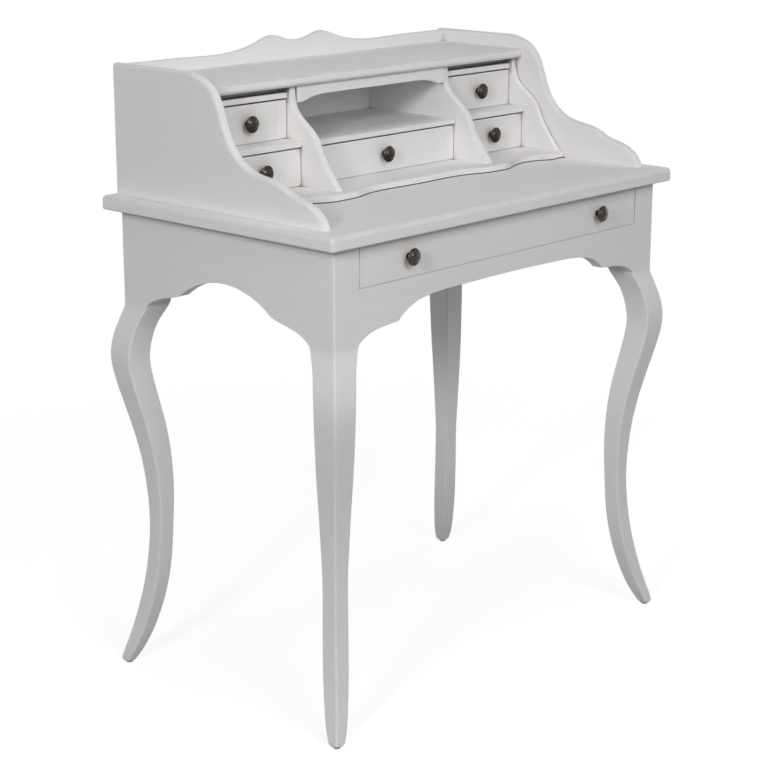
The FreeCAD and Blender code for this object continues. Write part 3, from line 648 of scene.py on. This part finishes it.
@dataclass(frozen=True)
class GlidePlastic(Finish):
    """Dark hard plastic, scuffed by the floor."""

    relief: float = 0.02 * MM
    roughness: Span = (0.38, 0.66)
    fresh: Colour = (0.030, 0.028, 0.027)
    scuffed: Colour = (0.120, 0.112, 0.105)
    scuffs: Noise = Noise(520.0, 3.0, 0.7)
    scuff_step: Step = Step(0.48, 0.70)
    grit: Noise = Noise(1800.0, 3.0, 0.65)

    def coat(self, name: str) -> Material:
        """Makes the plastic for a glide.

        Args:
            name: what the material is called.

        Returns:
            The plastic's material.
        """
        sheet = Sheet.blank(name)
        grit = sheet.noise(self.grit)
        scuffs = sheet.ramp(sheet.noise(self.scuffs), self.scuff_step)
        return self.closed(sheet, sheet.mix(scuffs, self.fresh, self.scuffed), grit, grit)


@dataclass(frozen=True)
class Palette:
    """The finishes of the whole desk."""

    paint: Paint = Paint()
    bare_wood: BareWood = BareWood()
    plywood: Plywood = Plywood()
    bronze: Bronze = Bronze()
    steel: ZincSteel = ZincSteel()
    glide: GlidePlastic = GlidePlastic()


# --- meshes
def to_object(name: str, bm: Mesh, sharp_over: float = 40.0) -> Piece:
    """Turns a mesh in the making into an object, smooth except at its sharper edges.

    Args:
        name: the new piece's name.
        bm: the mesh in the making, which is freed.
        sharp_over: the angle between two faces from which their edge stays sharp, in degrees.

    Returns:
        The new object.
    """
    bmesh.ops.recalc_face_normals(bm, faces=bm.faces)
    mesh = bpy.data.meshes.new(name)
    bm.to_mesh(mesh)
    bm.free()
    mesh.shade_smooth()
    mesh.set_sharp_from_angle(angle=math.radians(sharp_over))
    return linked(bpy.data.objects.new(name, mesh))


def linked(thing: Piece) -> Piece:
    """Puts a new object, lamp or camera into the scene."""
    bpy.context.scene.collection.objects.link(thing)
    return thing


def smooth_line(points: Sequence[Point], steps: int) -> list[Point]:
    """A smooth line through outline points.

    Args:
        points: the points, as distance from the axis and distance along it.
        steps: how many pieces each stretch is divided into.

    Returns:
        The points of the smooth line, its first and last the same as those given.
    """
    line = [Vector(p) for p in points]
    padded = [2 * line[0] - line[1], *line, 2 * line[-1] - line[-2]]
    found = []
    for a, b, c, d in zip(padded, padded[1:], padded[2:], padded[3:]):
        bend, twist = 2 * a - 5 * b + 4 * c - d, 3 * b - a - 3 * c + d
        for t in (i / steps for i in range(steps)):
            found.append(tuple((2 * b + (c - a) * t + bend * t**2 + twist * t**3) / 2))
    return [*found, tuple(line[-1])]


def lathe(bm: Mesh, outline: Sequence[Point], segments: int) -> Ring:
    """Turns an outline round the upright axis of its own coordinates.

    Args:
        bm: the mesh to add to.
        outline: the points, as distance from the axis and height.
        segments: how many sides the turned shape has.

    Returns:
        The ring of vertices at the outline's last point, or its one point on the axis.
    """
    last: Ring = []
    turns = [2 * math.pi * i / segments for i in range(segments)]
    for radius, height in outline:
        if radius < 1e-7:
            ring = [bm.verts.new((0.0, 0.0, height))]
        else:
            ring = [bm.verts.new((radius * math.cos(t), radius * math.sin(t), height)) for t in turns]
        for i in range(segments if last else 0):
            j = (i + 1) % segments
            corners = [last[i % len(last)], last[j % len(last)], ring[j % len(ring)], ring[i % len(ring)]]
            bm.faces.new(list(dict.fromkeys(corners)))
        last = ring
    return last


def wall(bm: Mesh, lower: Ring, upper: Ring) -> None:
    """Joins two rings of as many vertices with faces."""
    for a, b, c, d in zip(lower, lower[1:] + lower[:1], upper[1:] + upper[:1], upper):
        bm.faces.new((a, b, c, d))


def eased(outline: Sequence[tuple[float, float, float]], steps: int = 4) -> list[Point]:
    """Rounds the corners of a closed outline.

    Args:
        outline: each corner's two coordinates and its radius, 0 where it stays sharp.
        steps: how many pieces each round is divided into.

    Returns:
        The points of the outline with its rounds.
    """
    found: list[Point] = []
    for i, (x, y, radius) in enumerate(outline):
        corner = Vector((x, y))
        if not radius:
            found.append((x, y))
            continue
        before = (Vector(outline[i - 1][:2]) - corner).normalized() * radius
        after = (Vector(outline[(i + 1) % len(outline)][:2]) - corner).normalized() * radius
        centre = corner + before + after
        for turn in (math.pi / 2 * k / steps for k in range(steps + 1)):
            found.append(tuple(centre - after * math.cos(turn) - before * math.sin(turn)))
    return found


def extruded(outline: Sequence[Point], start: float, end: float) -> Mesh:
    """Draws a closed outline in the upright plane across the desk out from front to back.

    Args:
        outline: the points, as place across the desk and height.
        start: where the board begins, from front to back.
        end: where it ends.

    Returns:
        The mesh of the board.
    """
    bm = bmesh.new()
    rings = [[bm.verts.new((x, y, z)) for x, z in outline] for y in (start, end)]
    for ring in rings:
        bm.faces.new(ring)
    wall(bm, *rings)
    return bm


@dataclass(frozen=True)
class CrossRecess:
    """The cross-shaped recess in a screw's head."""

    span: float
    width: float
    depth: float
    taper: float = 0.62

    def cut(self, bm: Mesh, rim: Ring) -> None:
        """Closes a head's flat face with the recess in it.

        Args:
            bm: the mesh of the screw, with the rim of its flat face still open.
            rim: the vertices of that rim, at one height.
        """
        top = rim[0].co.z
        a, b = self.span / 2, self.width / 2
        quarter = [(a, -b), (a, b), (b, b)]
        points: list[Point] = []
        for _ in range(4):
            points += quarter
            quarter = [(-y, x) for x, y in quarter]
        mouth = [bm.verts.new((x, y, top)) for x, y in points]
        edges = [bm.edges.new(ends) for ends in zip(mouth, mouth[1:] + mouth[:1])]
        edges += [e for v in rim for e in v.link_edges if e.other_vert(v) in rim]
        bmesh.ops.triangle_fill(bm, use_beauty=True, edges=list(set(edges)))
        bottom = [bm.verts.new((x * self.taper, y * self.taper, top - self.depth)) for x, y in points]
        wall(bm, mouth, bottom)
        bm.faces.new(bottom)


def aimed(piece: Piece, place: Vector, direction: Vector) -> Piece:
    """Puts a piece at a place, with its own upright axis along a direction."""
    turn = UP.rotation_difference(direction.normalized()).to_matrix()
    piece.matrix_world = Matrix.Translation(place) @ turn.to_4x4()
    return piece


# --- sub-assemblies
@dataclass
class Assembly:
    """What every sub-assembly has: the body that it moves with, its finishes and its pieces."""

    body: str
    palette: Palette
    pieces: list[str] = field(default_factory=list, init=False)

    def dress(self, finish: Paint | BareWood | Plywood, lay: Lay) -> None:
        """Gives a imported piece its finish.

        Args:
            finish: the finish that it gets.
            lay: which piece it is, and how it is cut from its plank.
        """
        material = finish.coat("coat_" + lay.node, lay)
        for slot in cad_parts[lay.node].material_slots:
            slot.material = material
        self.pieces.append(lay.node)

    def add(self, piece: Piece, material: Material, slot: str, *nodes: str) -> None:
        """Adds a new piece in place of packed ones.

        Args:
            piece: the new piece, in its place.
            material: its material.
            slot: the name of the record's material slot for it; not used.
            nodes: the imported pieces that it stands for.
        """
        piece.data.materials.append(material)
        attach(piece, self.body)
        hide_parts(*nodes)
        self.pieces.append(piece.name)

    def add_steel(self, piece: Piece, node: str) -> None:
        """Adds a zinc-plated screw or bolt in place of a packed one."""
        self.add(piece, self.palette.steel.coat("steel_" + piece.name), "zinc_steel", node)

    def report(self) -> None:
        """Logs each piece of the sub-assembly."""
        for piece in self.pieces:
            log.info("%s on %s: %s", type(self).__name__, self.body, piece)


@dataclass
class Carcass(Assembly):
    """The aprons between the legs, and what holds them together and carries the drawer."""

    bolt_head: float = 5.5 * MM
    bolt_across: float = 13.9 * MM
    bolt_shank: float = 4.0 * MM
    bolt_tip: float = 1.0 * MM
    chamfer: float = 0.45
    rim_drop: float = 0.1 * MM
    flat_share: float = 0.97
    tip_share: float = 0.75
    head_sides: int = 36
    shank_sides: int = 24

    def dress_boards(self) -> None:
        """Paints the aprons, and leaves what is inside them bare."""
        paint, bare = self.palette.paint, self.palette.bare_wood
        for name, aside in (("front", 12 * MM), ("back", -20 * MM)):
            self.dress(paint, Lay("apron_" + name, Axis.ACROSS, Axis.DEEP, 0.0, aside=aside))
        for hand in Hand:
            aside = 15 * MM * hand.value
            self.dress(paint, Lay("apron_" + hand.word, Axis.DEEP, Axis.ACROSS, 0.0, aside=aside))
            self.dress(bare, Lay("runner_" + hand.word, Axis.DEEP, Axis.UPRIGHT))
        for lay in (
            Lay("drawer_stops", Axis.DEEP, Axis.UPRIGHT), Lay("corner_blocks", Axis.UPRIGHT, Axis.DEEP),
            Lay("top_blocks", Axis.ACROSS, Axis.UPRIGHT),
        ):
            self.dress(bare, lay)

    def bolt(self, name: str, length: float) -> Piece:
        """Makes a hexagon bolt that points up, its head's outer face down.

        Args:
            name: the bolt's name.
            length: its length under the head.

        Returns:
            The bolt.
        """
        bm = bmesh.new()
        half, top, sixth = self.bolt_across / 2, -self.bolt_head, math.pi / 3
        rings: list[Ring] = [[], [], []]
        for turn in (2 * math.pi * i / self.head_sides for i in range(self.head_sides)):
            off = (turn + sixth / 2) % sixth - sixth / 2
            edge = half / math.cos(off)
            drop = (edge - half) * self.chamfer + self.rim_drop
            for ring, radius, z in zip(rings, (edge, edge, half * self.flat_share), (0.0, drop + top, top)):
                ring.append(bm.verts.new((radius * math.cos(turn), radius * math.sin(turn), z)))
        for lower, upper in zip(rings, rings[1:]):
            wall(bm, lower, upper)
        shank = self.bolt_shank
        outline = [(shank, 0.0), (shank, length - self.bolt_tip), (self.tip_share * shank, length)]
        tip = lathe(bm, outline, self.shank_sides)
        for ring in (rings[2], rings[0], tip):
            bm.faces.new(ring)
        return to_object(name, bm, 25.0)

    def build_bolts(self) -> None:
        """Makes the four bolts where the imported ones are."""
        for corner in Corner:
            into = Vector((*corner.value, 0)).normalized()
            sideways = UP.cross(into)
            packed = corner.part("leg_bolts")
            low, high = extent(Vector((v.dot(into), v.dot(sideways), v.z)) for v in packed)
            axis, height = (low.y + high.y) / 2, (low.z + high.z) / 2
            start = low.x + self.bolt_head
            piece = self.bolt("leg_bolt_" + corner.word, high.x - start)
            aimed(piece, into * start + sideways * axis + UP * height, into)
            self.add_steel(piece, "leg_bolts")


@dataclass
class Legs(Assembly):
    """The four cabriole legs and the glides under their feet."""

    # how strongly painted shade darkens the legs' rounded arrises
    rub: float = 0.45
    glide_round: float = 1.1 * MM
    glide_sides: int = 40

    def dress_legs(self) -> None:
        """Paints the legs, whose grain runs up the post."""
        for corner in Corner:
            across, deep = corner.value
            aside = 20 * MM if deep < 0 else -14 * MM
            lay = Lay("leg_" + corner.word, Axis.UPRIGHT, Axis.DEEP, self.rub, 55 * MM * across, aside)
            self.dress(self.palette.paint, lay)

    def build_glides(self) -> None:
        """Makes a domed glide under each foot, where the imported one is."""
        e = self.glide_round
        for corner in Corner:
            low, high = extent(corner.part("foot_glides"))
            r, height = (high.x - low.x) / 2, high.z - low.z
            sole = [(0.0, 0.0), (r * 0.6, 0.05 * MM), (r - e, 0.25 * MM), (r - 0.2 * e, 0.5 * e), (r, e)]
            top = [(r, height - 0.2 * MM), (r - 0.2 * MM, height), (0.0, height)]
            bm = bmesh.new()
            lathe(bm, [*smooth_line(sole, 4), *top], self.glide_sides)
            piece = to_object("glide_" + corner.word, bm, 32.0)
            piece.location = ((low.x + high.x) / 2, (low.y + high.y) / 2, low.z)
            self.add(piece, self.palette.glide.coat("glide_" + piece.name), "glide", "foot_glides")


@dataclass
class WritingTop(Assembly):
    """The moulded writing top, and the screws through it into the hutch."""

    # how strongly painted shade darkens the top's rounded arrises
    rub: float = 0.75
    head_radius: float = 4.0 * MM
    shank_radius: float = 2.0 * MM
    tip: float = 1.5 * MM
    tip_share: float = 0.6
    head_edge: float = 0.1 * MM
    screw_sides: int = 32
    recess: CrossRecess = CrossRecess(4.4 * MM, 1.1 * MM, 1.3 * MM)

    def dress_top(self) -> None:
        """Paints the writing top."""
        lay = Lay("tabletop", Axis.ACROSS, Axis.UPRIGHT, self.rub, behind=-90 * MM)
        self.dress(self.palette.paint, lay)

    def build_screws(self) -> None:
        """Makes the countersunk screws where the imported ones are."""
        head, shank, edge = self.head_radius, self.shank_radius, self.head_edge
        low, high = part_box("hutch_screws")
        length, reach = high.z - low.z, (high - low) / 2 - Vector((head, head, 0.0))
        outline = [
            (0.0, -length), (self.tip_share * shank, -length), (shank, self.tip - length),
            (shank, shank - head), (head - edge, -edge), (head - 2 * edge, 0.0),
        ]
        for corner in Corner:
            bm = bmesh.new()
            self.recess.cut(bm, lathe(bm, outline, self.screw_sides))
            piece = to_object("hutch_screw_" + corner.word, bm, 32.0)
            aimed(piece, (low + high) / 2 + reach * Vector((*corner.value, -1)), -UP)
            self.add_steel(piece, "hutch_screws")


@dataclass
class Hutch(Assembly):
    """The raised back part with its gables, bays and shelves."""

    # how strongly painted shade darkens the rounded arrises of the uprights and of the flat boards
    upright_rub: float = 0.7
    shelf_rub: float = 1.0

    def dress_boards(self) -> None:
        """Paints the uprights, the boards that lie flat, the back and the valance."""
        paint = self.palette.paint
        for hand in Hand:
            for part, aside in (("gable_", 30 * MM), ("liner_", -20 * MM), ("partition_", 12 * MM)):
                place = {"aside": aside * hand.value}
                self.dress(paint, Lay(part + hand.word, Axis.DEEP, Axis.ACROSS, self.upright_rub, **place))
        shelves = ("shelf_left", "shelf_right", "shelf_centre")
        for i, node in enumerate(("hutch_base", "hutch_deck", *shelves, "top_board_left", "top_board_right")):
            aside = (11 * i - 20) * MM
            self.dress(paint, Lay(node, Axis.ACROSS, Axis.UPRIGHT, self.shelf_rub, aside=aside))
        for node in ("hutch_back", "valance"):
            self.dress(paint, Lay(node, Axis.ACROSS, Axis.DEEP, self.shelf_rub))


@dataclass(frozen=True)
class Knob:
    """A turned mushroom knob with a domed face.

    The radius is that of its rim. The foot, neck, flare and groove are radii too: at the drawer front, where
    it is thinnest, where the neck meets the back of the head, and round the face. The projection, the back and
    the rim are heights above the drawer front. The belly is how far the back of the head bulges, the roll how
    far the middle of the face rolls over towards the groove, and the lip how thick the rim is.
    """

    radius: float
    projection: float
    foot: float = 4.5 * MM
    neck: float = 3.5 * MM
    flare: float = 4.4 * MM
    back: float = 7.8 * MM
    rim: float = 11.6 * MM
    lip: float = 2.8 * MM
    lip_round: float = 0.7 * MM
    belly: float = 0.9 * MM
    roll: float = 0.7 * MM
    groove: float = 10.0 * MM
    groove_width: float = 1.6 * MM
    groove_depth: float = 1.0 * MM
    sides: int = 72

    def face(self, out: float, sunk: float = 0.0) -> Point:
        """A point of the domed face.

        Args:
            out: its distance from the axis.
            sunk: how far it lies below the dome.

        Returns:
            Its distance from the axis and from the drawer front.
        """
        edge = self.radius - self.lip_round
        rise = self.projection - self.rim - self.lip / 2
        sphere = (edge**2 + rise**2) / (2 * rise)
        return out, self.projection - sphere + math.sqrt(sphere**2 - out**2) - sunk

    def outline(self) -> list[Point]:
        """The turned outline.

        Returns:
            Its points from the foot to the middle of the face, as distances from the axis and the drawer front.
        """
        edge, inner = self.radius - self.lip_round, self.groove - self.groove_width
        turn, bottom = (self.flare, self.back), (edge, self.rim - self.lip / 2)
        bulge = ((turn[0] + bottom[0]) / 2, (turn[1] + bottom[1]) / 2 - self.belly)
        dome = [self.face(inner * t, self.roll * t**6) for t in (1 - k / 14 for k in range(15))]
        sunk = self.face((self.groove + inner) / 2, self.groove_depth)
        shank = smooth_line([(self.foot, 0.0), (self.neck, self.back / 2), turn], 6)
        back = smooth_line([turn, bulge, bottom], 5)
        rim = smooth_line([bottom, (self.radius, self.rim), self.face(edge)], 5)
        margin = [self.face(edge - (edge - self.groove) * k / 4) for k in range(1, 5)]
        groove = smooth_line([self.face(self.groove), sunk, dome[0]], 5)
        middle = [(0.0, 0.0), *shank, *back[1:], *rim[1:], *margin, *groove[1:]]
        return [*middle, *dome[1:-1], (0.0, self.projection)]

    def build(self, name: str) -> Piece:
        """Turns the knob, its foot at its own origin and its face up.

        Args:
            name: the knob's name.

        Returns:
            The knob.
        """
        bm = bmesh.new()
        lathe(bm, self.outline(), self.sides)
        return to_object(name, bm)


@dataclass(frozen=True)
class KnobScrew:
    """The pan-head screw through a drawer front into its knob."""

    shank: float = 2.0 * MM
    head: float = 4.0 * MM
    height: float = 2.4 * MM
    grip: float = 9.0 * MM
    point: float = 1.2 * MM
    point_share: float = 0.6
    foot: float = 0.2 * MM
    crown: tuple[Point, ...] = ((1.0, 0.35), (0.96, 0.66), (0.84, 0.9), (0.68, 1.0))
    sides: int = 36
    recess: CrossRecess = CrossRecess(4.0 * MM, 0.95 * MM, 1.3 * MM)

    def build(self, name: str, thickness: float) -> Piece:
        """Makes the screw, its head up and the head's underside at its own origin.

        Args:
            name: the screw's name.
            thickness: how thick the drawer front is.

        Returns:
            The screw.
        """
        tip = -thickness - self.grip
        h, r, s = self.height, self.head, self.shank
        shaft = [(0.0, tip), (self.point_share * s, tip), (s, tip + self.point), (s, 0.0)]
        foot = [(r - self.foot, 0.0), (r, self.foot)]
        crown = smooth_line([(out * r, up * h) for out, up in self.crown], 3)
        bm = bmesh.new()
        self.recess.cut(bm, lathe(bm, [*shaft, *foot, *crown], self.sides))
        return to_object(name, bm)


@dataclass
class Drawer(Assembly):
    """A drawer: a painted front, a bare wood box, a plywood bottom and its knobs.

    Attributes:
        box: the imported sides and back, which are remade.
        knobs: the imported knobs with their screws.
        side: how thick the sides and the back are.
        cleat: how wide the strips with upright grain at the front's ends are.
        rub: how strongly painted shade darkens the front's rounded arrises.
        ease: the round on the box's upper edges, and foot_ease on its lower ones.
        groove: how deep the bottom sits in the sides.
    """

    box: tuple[str, ...]
    knobs: tuple[str, ...]
    side: float = 8.0 * MM
    cleat: float = 30.0 * MM
    # how strongly painted shade darkens the front's rounded arrises
    rub: float = 0.8
    ease: float = 1.4 * MM
    foot_ease: float = 0.5 * MM
    groove: float = 4.0 * MM

    @property
    def front(self) -> str:
        """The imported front."""
        return self.body + "_front"

    @property
    def bottom(self) -> str:
        """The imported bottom."""
        return self.body + "_bottom"

    def dress_panels(self) -> None:
        """Paints the front, and finishes the plywood bottom."""
        lay = Lay(self.front, Axis.ACROSS, Axis.DEEP, self.rub, cleat=self.cleat, aside=22 * MM)
        self.dress(self.palette.paint, lay)
        self.dress(self.palette.plywood, Lay(self.bottom, Axis.ACROSS, Axis.UPRIGHT))

    def span(self) -> tuple[Vector, Vector]:
        """The lowest and highest corners of the drawer's box."""
        return extent(corner for node in self.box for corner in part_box(node))

    def side_board(self, hand: Hand) -> Piece:
        """Makes one side, with the groove for the bottom and its edges eased.

        Args:
            hand: which side of the drawer.

        Returns:
            The side.
        """
        low, high = self.span()
        floor_low, floor_high = (corner.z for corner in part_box(self.bottom))
        outer = low.x if hand is Hand.LEFT else high.x
        inner = outer - hand.value * self.side
        notch = inner + hand.value * self.groove
        outline = eased([
            (outer, low.z, self.foot_ease), (inner, low.z, self.foot_ease), (inner, floor_low, 0.0),
            (notch, floor_low, 0.0), (notch, floor_high, 0.0), (inner, floor_high, 0.0),
            (inner, high.z, self.ease), (outer, high.z, self.ease),
        ])
        return to_object(f"{self.body}_side_{hand.word}", extruded(outline, low.y, high.y))

    def back_board(self) -> Piece:
        """Makes the back, which stands on the bottom between the sides.

        Returns:
            The back.
        """
        low, high = self.span()
        near, floor = self.side - high.y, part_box(self.bottom)[1].z
        outline = eased([
            (near, floor, 0.0), (-high.y, floor, 0.0), (-high.y, high.z, self.ease), (near, high.z, self.ease),
        ])
        bm = extruded(outline, low.x + self.side, high.x - self.side)
        bmesh.ops.rotate(bm, verts=bm.verts, matrix=Matrix.Rotation(-math.pi / 2, 3, "Z"))
        return to_object(self.body + "_rear", bm)

    def add_board(self, piece: Piece, lay: Lay, *nodes: str) -> None:
        """Adds a board of the box in bare wood, in place of packed ones."""
        self.add(piece, self.palette.bare_wood.coat("wood_" + piece.name, lay), "bare_wood", *nodes)

    def build_box(self) -> None:
        """Makes the sides and the back, and gives them bare wood."""
        for i, hand in enumerate(Hand):
            lay = Lay(self.box[0], Axis.DEEP, Axis.ACROSS, behind=60 * MM * hand.value, aside=12 * MM)
            self.add_board(self.side_board(hand), lay, self.box[i if len(self.box) > 1 else 0])
        back = self.box[-1]
        self.add_board(self.back_board(), Lay(back, Axis.ACROSS, Axis.DEEP, behind=70 * MM), back)

    def build_knobs(self) -> None:
        """Turns the knobs, and makes the screws that hold them."""
        face, inside = (corner.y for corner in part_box(self.front))
        forward = Vector((0, -1, 0))
        for node in self.knobs:
            low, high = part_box(node)
            x, z = (low.x + high.x) / 2, (low.z + high.z) / 2
            knob = Knob((high.x - low.x) / 2, face - low.y)
            piece = aimed(knob.build(node + "_turned"), Vector((x, face, z)), forward)
            self.add(piece, self.palette.bronze.coat("bronze_" + node, knob.radius), "bronze", node)
            screw = KnobScrew().build(node + "_screw", inside - face)
            self.add_steel(aimed(screw, Vector((x, inside, z)), -forward), node)


# --- studio
@dataclass(frozen=True)
class Lamp:
    """A square soft lamp: its azimuth and elevation in degrees, its width in metres and its power in watts."""

    name: str
    azimuth: float
    elevation: float
    size: float
    power: float

    def hang(self, middle: Vector, reach: float) -> None:
        """Hangs the lamp, turned towards a point.

        Args:
            middle: the point.
            reach: how far the lamp is from it.
        """
        az, el = math.radians(self.azimuth), math.radians(self.elevation)
        away = Vector((math.sin(az) * math.cos(el), -math.cos(az) * math.cos(el), math.sin(el)))
        lamp = bpy.data.lights.new(self.name, "AREA")
        lamp.shape, lamp.size, lamp.energy = "SQUARE", self.size, self.power
        aimed(linked(bpy.data.objects.new(self.name, lamp)), middle + away * reach, away)


@dataclass
class Studio:
    """A plain pale floor, soft lamps, an even sky and the camera."""

    floor_colour: Colour = (0.340, 0.339, 0.336)
    floor_fleck: float = 0.985
    floor_grit: Noise = Noise(9.0, 3.0)
    bounce: Colour = (0.240, 0.240, 0.240)
    floor_radius: float = 30.0
    floor_drop: float = 0.2 * MM
    veil: float = 0.812
    clear: Step = Step(0.7, 2.0)
    sky: float = 1.03
    sky_edge: Span = (8.0, 16.0)
    eye: tuple[float, float, float] = (-2.3053, -2.0865, 1.2986)
    azimuth: float = -47.4597
    elevation: float = 15.6081
    roll: float = 0.0748
    focal: float = 1993.88
    frame_width: float = 768.0
    lamp_reach: float = 3.6
    lamps: tuple[Lamp, ...] = (
        Lamp("overhead", 0.0, 85.0, 1.8, 27.8),
        Lamp("left", -70.0, 21.0, 0.45, 37.8),
        Lamp("front", -20.0, 32.0, 1.8, 47.0),
        Lamp("right", 92.0, 9.0, 1.7, 32.0),
        Lamp("back", 178.0, 9.0, 1.7, 32.0),
    )

    def floor(self) -> None:
        """Lays the floor: plain white away from the desk, with its soft shadow, and clear from below."""
        bm = bmesh.new()
        bmesh.ops.create_circle(bm, cap_ends=True, segments=96, radius=self.floor_radius)
        piece = to_object("floor", bm)
        piece.location.z = -self.floor_drop
        sheet = Sheet.blank("floor")
        fleck = tuple(self.floor_fleck * c for c in self.floor_colour)
        paper = sheet.mix(sheet.noise(self.floor_grit), self.floor_colour, fleck)
        matt = sheet.add("BsdfDiffuse", {0: paper}).outputs[0]
        veil = sheet.add("Emission", {0: WHITE, 1: self.veil}).outputs[0]
        white = sheet.add("Emission", {0: WHITE, 1: 1.0}).outputs[0]
        shown = sheet.add("AddShader", {0: matt, 1: veil}).outputs[0]
        shown = sheet.blend(sheet.ramp(sheet.length(sheet.place), self.clear), shown, white)
        unseen = sheet.add("BsdfDiffuse", {0: opaque(self.bounce)}).outputs[0]
        paved = sheet.blend(sheet.seen(), unseen, shown)
        under = sheet.add("NewGeometry", {}).outputs["Backfacing"]
        glass = sheet.add("BsdfTransparent", {}).outputs[0]
        sheet.add("OutputMaterial", {"Surface": sheet.blend(under, paved, glass)})
        piece.data.materials.append(sheet.owner)
        piece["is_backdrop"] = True

    def air(self) -> None:
        """Makes the low band of sky light all round, which is plain white to the camera and in reflections."""
        world = bpy.data.worlds.new("studio")
        bpy.context.scene.world = world
        sheet = Sheet(world)
        height = sheet.parts(sheet.add("TexCoord", {}).outputs["Generated"])[2]
        edge = Step(*(math.sin(math.radians(a)) for a in self.sky_edge), self.sky, 0.0)
        soft = sheet.add("Background", {0: WHITE, 1: sheet.ramp(height, edge)}).outputs[0]
        white = sheet.add("Background", {0: WHITE, 1: 1.0}).outputs[0]
        sheet.add("OutputWorld", {0: sheet.blend(sheet.seen(), soft, white)})

    def lights(self) -> None:
        """Hangs the soft lamps, which all point at the desk's middle."""
        low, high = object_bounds()
        for lamp in self.lamps:
            lamp.hang((low + high) / 2, self.lamp_reach)

    def camera(self) -> None:
        """Stands the camera where its azimuth, elevation and roll say."""
        az, el, roll = (math.radians(a) for a in (self.azimuth, self.elevation, self.roll))
        tilt = Matrix.Rotation(math.pi / 2 - el, 4, "X") @ Matrix.Rotation(roll, 4, "Z")
        data = bpy.data.cameras.new("camera")
        data.lens = self.focal / self.frame_width * data.sensor_width
        camera = linked(bpy.data.objects.new("camera", data))
        camera.matrix_world = Matrix.Translation(Vector(self.eye)) @ Matrix.Rotation(az, 4, "Z") @ tilt
        bpy.context.scene.camera = camera

    def build(self) -> None:
        """Sets the whole studio."""
        bpy.context.scene.view_settings.view_transform = "Standard"
        self.camera()
        self.lights()
        self.air()
        self.floor()


def drawers(palette: Palette) -> list[Drawer]:
    """Describes the desk's own drawer and the five of the hutch.

    Args:
        palette: the finishes.

    Returns:
        The drawers, which aren't built yet.
    """
    box = tuple("desk_drawer_" + part for part in ("left", "right", "back"))
    knobs = ("desk_knob_left", "desk_knob_right")
    found = [Drawer("desk_drawer", palette, box, knobs, side=12.0 * MM, cleat=36.0 * MM)]
    for place in (*(f"{level}_{hand.word}" for level in ("upper", "lower") for hand in Hand), "centre"):
        found.append(Drawer(place + "_drawer", palette, (place + "_drawer_box",), (place + "_knob",)))
    return found


def main() -> None:
    """Builds and finishes the sub-assemblies in order."""
    logging.basicConfig(level=logging.INFO, format="%(message)s")
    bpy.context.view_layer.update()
    palette = Palette()
    Studio().build()
    carcass = Carcass("desk", palette)
    carcass.dress_boards()
    carcass.build_bolts()
    legs = Legs("desk", palette)
    legs.dress_legs()
    legs.build_glides()
    top = WritingTop("desk", palette)
    top.dress_top()
    top.build_screws()
    hutch = Hutch("desk", palette)
    hutch.dress_boards()
    sliding = drawers(palette)
    for drawer in sliding:
        drawer.dress_panels()
        drawer.build_box()
        drawer.build_knobs()
    for assembly in (carcass, legs, top, hutch, *sliding):
        assembly.report()


if __name__ == "__main__":
    main()
